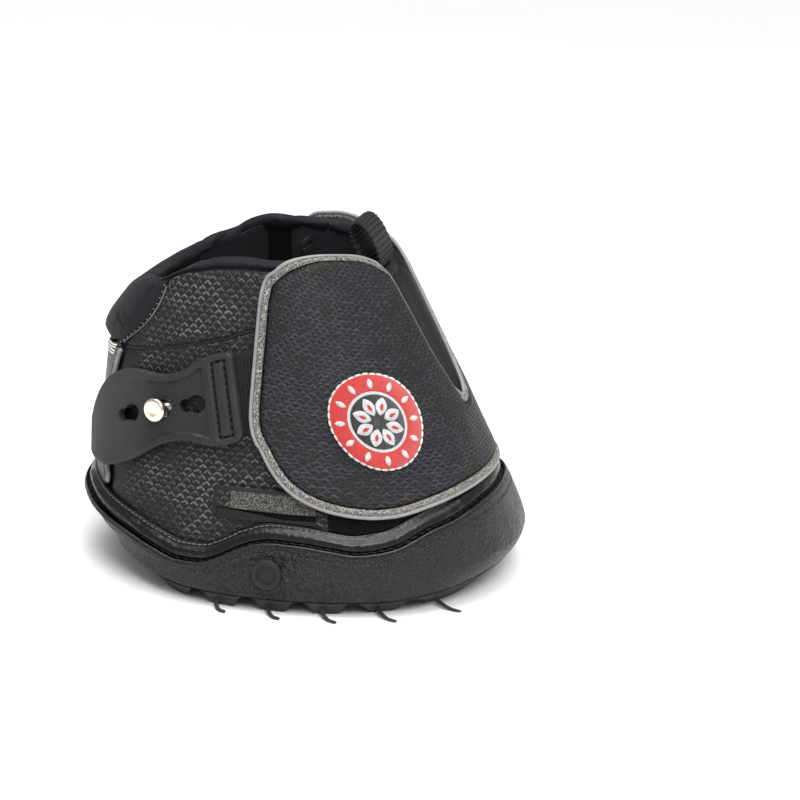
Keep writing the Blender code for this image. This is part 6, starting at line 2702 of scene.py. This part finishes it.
    def inside(self) -> None:
        """Lining of the flap, padding of the shield and the loop patch."""
        columns = self.fine(-66, 92, 2)
        place = self.place(columns, 0.0030)
        sheet = wall_sheet("flap_lining_cloth", len(columns) - 1, 20, place,
                           lambda turn, height: self.lining, self.lining_thickness, 0.0)
        BENCH.finish(sheet, LINING, None, "flap_lining")
        self.bend(sheet)
        columns = self.fine(-95, -66, 4)
        place = self.place(columns, 2 * self.piping_radius + 0.0018)

        def crown(turn: float, height: float) -> float:
            """The padding's face, full in the middle."""
            middle = clamp((turn - LINES.shield_rear) / (LINES.fold - LINES.shield_rear), 0, 1)
            return self.padding - 0.0006 * abs(2 * middle - 1) ** 3
        pad = wall_sheet("shield_padding_cloth", len(columns) - 1, 30, place, crown, 0.0030, 0.0006)
        BENCH.finish(pad, LINING, Body.BOOT, "shield_padding")
        patch = strip_place(self.patch_front, self.patch_rear, lambda turn: LINES.flap_foot(turn) + 0.0030,
                            lambda turn: UPPER.patch_top)
        sheet = wall_sheet("loop_patch_pile", 150, 30, patch, lambda turn, height: 0.0024, 0.0008, 0.0)
        BENCH.finish(sheet, PILE, Body.FLAP, "loop_patch", angle=80)

    def edging(self, name: str, inset: float, half_width: float, half_height: float, power: float,
               finish: Finish, *stands_for: str) -> None:
        """A cord or tape along the edge at an inset, thin beside the notch.

        Args:
            name: Name of the piece.
            inset: Distance from the outer edge.
            half_width: Half the section's width.
            half_height: Half the section's height.
            power: 2 for an ellipse, more for a squarer section.
            finish: Its finish.
            stands_for: CAD nodes that it replaces.
        """
        run = self.loop(inset)
        path = Path.on_wall(run, 0.0043, closed=True)
        total = path.lengths()[-1]
        pick = random.Random(len(name))
        waver = [pick.uniform(0.96, 1.04) for _ in run]

        def swell(at: float, angle: float) -> float:
            """The piping's share of its width at a running length."""
            index = round(at / total * len(run)) % len(run)
            return self.narrow(*run[index]) * waver[index]

        piece = swept(name, path, half_width, half_height, 12, power, swell=swell)
        BENCH.finish(piece, finish, None, *stands_for, angle=80)
        self.bend(piece)

    def piping(self) -> None:
        """Smooth cord outermost, glittering tape inside it, and the stitches beside the tape."""
        self.edging("front_piping_cord", self.cord_radius, self.cord_radius, self.cord_radius, 2.0, CORD,
                    "flap_piping", "shield_piping")
        self.edging("front_piping_tape", 2 * self.cord_radius + self.tape_half * 0.8, self.tape_half,
                    self.tape_height, 2.6, EDGE_TAPE)
        line = Path.on_wall(self.loop(2 * self.piping_radius + 0.0013), self.leather - 0.0005, closed=True)
        self.bend(sew("front_edge_stitches", line, 0.0023, 0.0010, 0.00030, 0.00030, body=None))

    def build(self) -> None:
        """Build the shell, what lies inside it and its piping."""
        self.shell()
        self.inside()
        self.piping()


@dataclass
class Badge:
    """Round embroidered patch with a generic rosette in red, white and black."""

    turn: float = 53.5
    height: float = 0.0715
    radius: float = 0.0172
    squash: Pair = (0.94, 1.04)
    back: float = 0.0056
    face: float = 0.0063

    def spot(self, radius: float, angle: float, offset: float) -> Vector:
        """A place on the patch in polar steps.

        Args:
            radius: Distance from the patch's middle.
            angle: Direction, in radians.
            offset: Distance outwards from the wall.

        Returns:
            The point.
        """
        across = self.squash[0] * radius * cos(angle)
        place = WALL.walk(self.turn, self.height, across, self.squash[1] * radius * sin(angle))
        return WALL.point(*place, offset)

    def ring(self, name: str, inner: float, outer: float, rows: int, lift: float, crown: float,
             finish: Finish, *stands_for: str) -> None:
        """A band of satin stitching between two radii, crowned across its width.

        Args:
            name: Name of the piece.
            inner: Inner radius.
            outer: Outer radius.
            rows: Steps across the band.
            lift: Offset of the band's edges.
            crown: Rise of its middle.
            finish: Its finish.
            stands_for: CAD nodes that it replaces.
        """
        def pattern(u: float, v: float) -> Vector:
            """The band's own map."""
            radius, angle = lerp(inner, outer, v), 2 * pi * u
            return Vector((radius * cos(angle), radius * sin(angle), 0.0))

        band = BENCH.formed(name, 120, rows, lambda u, v: self.spot(
            max(lerp(inner, outer, v), 1e-6), 2 * pi * u, lift + crown * (1 - abs(2 * v - 1) ** 3)), pattern)
        self.settle(band, lift)
        BENCH.finish(band, finish, Body.FLAP, *stands_for, angle=60)

    def settle(self, piece: Piece, lift: float) -> None:
        """Close a thin piece down to the patch and turn its faces out.

        Args:
            piece: The piece.
            lift: Offset of the piece's edge.
        """
        BENCH.merge(piece, 1e-6, outwards=False)
        outward = WALL.normal(self.turn, self.height)
        total = sum((face.normal * face.area for face in piece.data.polygons), Vector())
        if total.dot(outward) < 0:
            piece.data.flip_normals()
        BENCH.apply(piece, "SOLIDIFY", thickness=max(lift - self.back, 0.0002), offset=-1.0)

    def petal(self, name: str, near: float, far: float, angle: float, half: float, lift: float) -> Piece:
        """A leaf-shaped satin motif that points outwards.

        Args:
            name: Name of the piece.
            near: Radius of its inner tip.
            far: Radius of its outer tip.
            angle: Its direction, in radians.
            half: Half its width.
            lift: Offset of its edge.

        Returns:
            The petal, not yet hung.
        """
        def at(u: float, v: float) -> Vector:
            """The petal's point.

            Args:
                u: Share along u, 0 to 1.
                v: Share along v, 0 to 1.

            Returns:
                The point.
            """
            along = lerp(near, far, u)
            width = half * sin(pi * u) ** 0.8
            side = (2 * v - 1) * width
            rise = 0.0005 * (1 - (2 * v - 1) ** 2) * sin(pi * u) ** 0.5
            radius = hypot(along, side)
            return self.spot(radius, angle + atan2(side, along), lift + rise)

        petal = BENCH.formed(name, 12, 6, at,
                             lambda u, v: Vector((lerp(near, far, u), (2 * v - 1) * half, 0.0)))
        self.settle(petal, lift)
        return petal

    def build(self) -> None:
        """Build the patch from its ground up."""
        self.ring("badge_ground", 0.0, self.radius, 16, self.face, 0.0, WHITE_SATIN, "badge_patch")
        self.ring("badge_red_ring", 0.0110, self.radius - 0.0001, 6, self.face, 0.00042, RED_SATIN)
        self.ring("badge_black_field", 0.0, 0.0100, 10, self.face, 0.00025, BLACK_SATIN)
        places = [self.spot(self.radius + 0.0001, 2 * pi * step / 240, self.face - 0.0001)
                  for step in range(240)]
        rim = Path(places, [WALL.normal(self.turn, self.height)] * 240, True)
        sew("badge_edge_stitching", rim, 0.0024, 0.0004, 0.00048, 0.00042, thread=WHITE_THREAD,
            body=Body.FLAP, wander=0.00008)
        lift = self.face + 0.0003
        white = [self.petal(f"white_{n}", 0.0026, 0.0094, radians(45 * n + 22.5), 0.0021, lift)
                 for n in range(8)]
        white += [self.petal(f"mark_{n}", 0.0120, 0.0158, radians(30 * n), 0.0010, self.face + 0.0004)
                  for n in range(12)]
        red = [self.petal(f"red_{n}", 0.0044, 0.0074, radians(45 * n + 22.5), 0.0007, lift + 0.0004)
               for n in range(8)]
        for name, petals, finish in (("white", white, WHITE_SATIN), ("red", red, RED_SATIN)):
            BENCH.finish(BENCH.joined(f"badge_{name}_petals", petals), finish, Body.FLAP, angle=60)


@dataclass
class Closure:
    """Elastic strap, keyholed rubber tab with its stitched bar, and the turned stud."""

    stud_turn: float = 115.2
    stud_height: float = 0.0698
    slant: float = -13.5
    bend_share: float = 0.27
    front_bend: float = 0.07
    front: float = 0.0288
    rear: float = 0.0376
    half_width: float = 0.0170
    inner: float = 0.0019
    thickness: float = 0.0028
    rear_standoff: float = 0.0014
    outline_shares: Table = (
        (0.000, 0.86), (0.012, 0.93), (0.035, 0.975), (0.10, 0.99), (0.16, 0.965), (0.22, 0.87),
        (0.29, 0.765), (0.36, 0.735), (0.43, 0.760), (0.51, 0.850), (0.60, 0.960), (0.68, 1.0),
        (0.76, 0.985), (0.84, 0.90), (0.90, 0.775), (0.955, 0.59), (0.985, 0.42), (1.0, 0.27))
    pitch: float = 0.0130
    wide: float = 0.0036
    narrow: float = 0.0027
    travel: float = 0.0041
    rest_share: float = 0.60
    bar_centre: float = -0.0232
    bar_half_length: float = 0.0138
    bar_half_width: float = 0.0022
    recess_front: float = -0.0176
    recess_inset: float = 0.0032
    recess_depth: float = 0.00105
    stud_along: float = 0.0019
    stud_level: float = 0.25
    strap_length: float = 0.0290
    strap_overlap: float = 0.0090
    strap_half: float = 0.0150
    strap_top: float = 0.0015
    rib_pitch: float = 0.0014
    cutter_length: float = 0.0120
    lip_middle: float = 0.0018
    peel_hinge: Triple = (-0.05274, 0.00864, 0.07754)
    peel_way: Triple = (0.228, 0.944, -0.240)
    peel_start: float = 0.0005
    peel_end: float = 0.0075

    def place(self, along: float, across: float) -> Pair:
        """Turn and height of a spot from the stud: along towards the heel, across upwards.

        Args:
            along: Length towards the heel.
            across: Length upwards.

        Returns:
            Turn and height.
        """
        slant = radians(self.slant)
        bend = self.bend_share * max(along, 0.0) ** 2 / self.rear
        bend -= self.front_bend * min(along, 0.0) ** 2 / self.front
        level = along * cos(slant) - across * sin(slant)
        up = along * sin(slant) + across * cos(slant) - bend
        return WALL.walk(self.stud_turn, self.stud_height, level, up)

    def under(self, along: float) -> float:
        """Offset of the tab's inner face, which stands off towards the heel."""
        return self.inner + self.rear_standoff * clamp(along / self.rear, 0.0, 1.0)

    def half(self, along: float) -> float:
        """Half the tab's width at a place along it."""
        share = (along + self.front) / (self.front + self.rear)
        return self.half_width * read_table(self.outline_shares, share)

    def top(self, along: float, across: float) -> float:
        """Offset of the tab's face: rounded rims, recessed field, sewn groove and raised front edge.

        Args:
            along: Place along the tab.
            across: Place across it.

        Returns:
            The offset.
        """
        side = self.half(along) - abs(across)
        front, rear = along + self.front, self.rear - along
        near = max(min(side, front, rear * 1.2), 0.0)
        radius = 0.0012
        drop = radius - sqrt(max(radius ** 2 - max(radius - near, 0.0) ** 2, 0.0))
        field_share = (ease(self.recess_inset - 0.00022, self.recess_inset + 0.00022, side)
                       * ease(self.recess_front - 0.0002, self.recess_front + 0.0002, along)
                       * ease(0.016, -0.004, along))
        recess = self.recess_depth * field_share
        bar = max(abs(along - self.bar_centre) - self.bar_half_width, abs(across) - self.bar_half_length)
        groove = 0.0010 * exp(-(bar / 0.00070) ** 2)
        lip = 0.00035 * ease(0.0030, 0.0016, front)
        return self.under(along) + self.thickness - drop - recess - groove + lip

    def keyholes(self) -> list[Pair]:
        """Along places of the three keyholes' wide centres."""
        first = self.stud_along - self.pitch - self.rest_share * self.travel
        return [(first + index * self.pitch, 0.0) for index in range(3)]

    def tab(self) -> None:
        """The rubber tab, its three keyholes cut through, and their thin lips."""
        columns, upper, lower = 150, 60, 8
        length = self.front + self.rear
        loop: list[tuple[float, bool]] = []
        for step in range(upper + 1):
            share = 2 * step / upper - 1
            loop.append((copysign(1 - (1 - abs(share)) ** 1.25, share), True))
        loop += [(1 - 2 * step / lower, False) for step in range(lower + 1)]
        rows = len(loop)

        def section(u: float, v: float) -> tuple[float, float, bool]:
            """Along, across and face of a section's point.

            Args:
                u: Share along u, 0 to 1.
                v: Share along v, 0 to 1.

            Returns:
                Along, across, and whether it lies on the face.
            """
            u = u - 0.35 * sin(2 * pi * u) / (2 * pi)
            along = lerp(-self.front, self.rear, u)
            share, face = loop[round(v * rows) % rows]
            inset = 0.0 if face else 0.0004
            return along, share * (self.half(along) - inset), face

        def spot(u: float, v: float) -> Vector:
            """The tab's surface.

            Args:
                u: Share along u, 0 to 1.
                v: Share along v, 0 to 1.

            Returns:
                The point.
            """
            along, across, face = section(u, v)
            offset = self.top(along, across) if face else self.under(along)
            return WALL.point(*self.place(along, across), offset)

        tab = BENCH.formed("closure_tab_rubber", columns, rows, spot,
                           lambda u, v: Vector((*section(u, v)[:2], 0.0)))
        BENCH.merge(tab, 1e-6, fill=True)
        lips = []
        for index, (along, _) in enumerate(self.keyholes()):
            axis = WALL.normal(*self.place(along + self.travel / 2, 0.0))
            for step, radius in ((0.0, self.wide), (self.travel, self.narrow)):
                centre = WALL.point(*self.place(along + step, 0.0), self.inner)
                BENCH.cut(tab, drum(centre, axis, radius, self.cutter_length, 56))
            lips.append(self.lip(f"lip_{index}", along))
        BENCH.finish(tab, TAB_RUBBER, Body.TAB, "closure_tab", angle=42)
        BENCH.finish(BENCH.joined("keyhole_lips", lips), TAB_RUBBER, Body.TAB)

    def lip(self, name: str, along: float) -> Piece:
        """The thin rounded lip round one keyhole.

        Args:
            name: Name of the piece.
            along: Place of the keyhole's wide centre.

        Returns:
            The lip.
        """
        start = self.lip_middle
        points, normals = [], []
        for step in range(96):
            angle = 2 * pi * step / 96
            cosine, sine = cos(angle), sin(angle)
            reach = 0.0
            for centre, radius in ((-start, self.wide), (self.travel - start, self.narrow)):
                dot = centre * cosine
                inside = dot * dot + radius * radius - centre * centre
                if inside > 0:
                    reach = max(reach, dot + sqrt(inside))
            x, y = along + start + reach * cosine, reach * sine
            place = self.place(x, y)
            points.append(WALL.point(*place, self.top(x, y) - 0.00012))
            normals.append(WALL.normal(*place))
        return swept(name, Path(points, normals, True), 0.00028, 0.00028, 8)

    def stitching(self) -> None:
        """Black stitches in the groove round the sewn bar, their thread painted darker as the groove's
        painted shade.
        """
        places = []
        for step in range(160):
            angle = 2 * pi * step / 160
            corner = max(abs(cos(angle)), abs(sin(angle)))
            across = self.bar_half_length * sin(angle) / corner
            along = self.bar_centre + self.bar_half_width * cos(angle) / corner
            places.append((along, across))
        points = [WALL.point(*self.place(*place), self.top(*place) + 0.00012) for place in places]
        normals = [WALL.normal(*self.place(*place)) for place in places]
        sew("tab_bar_stitches", Path(points, normals, True), 0.0022, 0.0005, 0.00050, 0.00042,
            "tab_stitching", thread=SHADED_TAB_THREAD, body=Body.TAB)

    def strap(self) -> None:
        """Elastic strap with close ribs across it."""
        rear = self.strap_overlap - self.front

        def spot(u: float, v: float) -> Vector:
            """The strap's ribbed face.

            Args:
                u: Share along u, 0 to 1.
                v: Share along v, 0 to 1.

            Returns:
                The point.
            """
            along = lerp(rear - self.strap_length, rear, u)
            across = self.strap_half * (2 * v - 1)
            rib = abs(sin(pi * along / self.rib_pitch)) ** 0.7
            edge = ease(0.0, 0.0012, self.strap_half - abs(across))
            return WALL.point(*self.place(along, across), self.strap_top - 0.0005 + 0.0005 * rib * edge)

        strap = BENCH.formed("elastic_strap_webbing", 168, 26, spot, lambda u, v: Vector(
            (u * self.strap_length, (2 * v - 1) * self.strap_half, 0.0)))
        BENCH.thicken(strap, 0.0008, 0.0002)
        BENCH.finish(strap, ELASTIC, None, "elastic_strap", angle=60)
        hinge = Vector(self.peel_hinge)
        way = Vector(self.peel_way)
        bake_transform(strap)

    def stud(self) -> None:
        """Turned stud: dished head, waisted neck and flared base."""
        spot = self.place(self.stud_along, 0.0)
        centre = WALL.point(*spot)
        axis = WALL.normal(*spot)
        axis = Vector((axis.x, axis.y, self.stud_level * axis.z)).normalized()
        low = self.inner + self.thickness + 0.0010
        top, head = low + 0.0022, 0.0045
        profile = [(0.0, top - 0.0001), (head * 0.45, top - 0.0001), (head * 0.52, top),
                   (head * 0.78, top - 0.0001)]
        profile += [(head * 0.78 + head * 0.22 * sin(a), top - 0.0001 - 0.0009 * (1 - cos(a)))
                    for a in (radians(x) for x in (20, 40, 60, 80, 90))]
        profile += [(head, low + 0.0006), (head - 0.0001, low + 0.0003), (head - 0.0005, low + 0.0001),
                    (head - 0.0010, low), (0.0024, low), (0.0020, low - 0.0003), (0.0018, low - 0.0012),
                    (0.0019, 0.0034), (0.0023, 0.0025), (0.0029, 0.0017), (0.0036, 0.0012), (0.0039, 0.0010),
                    (0.0040, 0.0007), (0.0040, 0.0003), (0.0014, 0.0003), (0.0014, -0.0021), (0.0, -0.0021)]
        stud = lathe("closure_stud_metal", profile, centre, axis, 64)
        BENCH.finish(stud, METAL, Body.BOOT, "closure_stud", angle=35)
        plate = [(0.0, -0.0024), (0.0056, -0.0024), (0.0060, -0.0027), (0.0060, -0.0031), (0.0057, -0.0034),
                 (0.0, -0.0034)]
        backing = lathe("stud_backplate_metal", plate, centre, axis, 48)
        BENCH.finish(backing, METAL, Body.BOOT, "stud_backplate")

    def build(self) -> None:
        """Build the strap, tab, stitches and stud."""
        self.strap()
        self.tab()
        self.stitching()
        self.stud()


@dataclass
class PullLoop:
    """Ribbed webbing loop that stands on the front of the collar."""

    width: float = 0.0250
    rise: float = 0.0208
    gap: float = 0.0058
    thickness: float = 0.0016
    root_step: float = 0.0020
    collar_radius: float = 0.0028
    rib: float = 0.0016

    def build(self) -> None:
        """Build the loop as one closed band."""
        lean = atan(WALL.toe_lean)
        up = Vector((0.0, sin(lean), cos(lean)))
        front = Vector((0.0, -cos(lean), sin(lean)))
        side = front.cross(up)
        middle = WALL.point(0.0, LINES.rim(0.0) - self.collar_radius, -self.collar_radius - 0.0003)
        root = middle + up * (self.collar_radius + self.root_step)
        half = self.gap / 2 + self.thickness / 2
        tall = (self.rise - self.thickness) / 2
        length = pi * (half + tall) * 1.06

        def spot(u: float, v: float) -> Vector:
            """The band's point: u round the loop, v round its section.

            Args:
                u: Share along u, 0 to 1.
                v: Share along v, 0 to 1.

            Returns:
                The point.
            """
            angle = 2 * pi * u
            squash = 2 / 2.3
            c = copysign(abs(cos(angle)) ** squash, cos(angle))
            s = copysign(abs(sin(angle)) ** squash, sin(angle))
            centre = root + front * (half * c) + up * (self.rise / 2 + tall * s)
            away = (front * (cos(angle) / half) + up * (sin(angle) / tall)).normalized()
            turn = 2 * pi * v
            x = copysign(abs(cos(turn)) ** 0.30, cos(turn)) * (self.width / 2)
            y = copysign(abs(sin(turn)) ** 0.45, sin(turn)) * (self.thickness / 2)
            wave = 1 - 0.45 * (0.5 + 0.5 * cos(2 * pi * round(length / self.rib) * u))
            return centre + side * x + away * (y * wave)

        loop = BENCH.formed("pull_loop_webbing", 200, 34, spot, lambda u, v: Vector(
            (u * length, cos(2 * pi * v) * self.width / 2, 0.0)), merge=True)
        BENCH.finish(loop, WEBBING, Body.LOOP, "pull_loop", angle=60)


UPPER = Upper()


def main() -> None:
    """Build the whole boot in order and report each piece."""
    logging.basicConfig(level=logging.INFO, format="%(message)s")
    Studio().build()
    for assembly in (Sole(), UPPER, Collar(), FrontFlap(), Badge(), Closure(), PullLoop()):
        assembly.build()
    log.info("%d pieces built", len(BENCH.done))


if __name__ == "__main__":
    main()
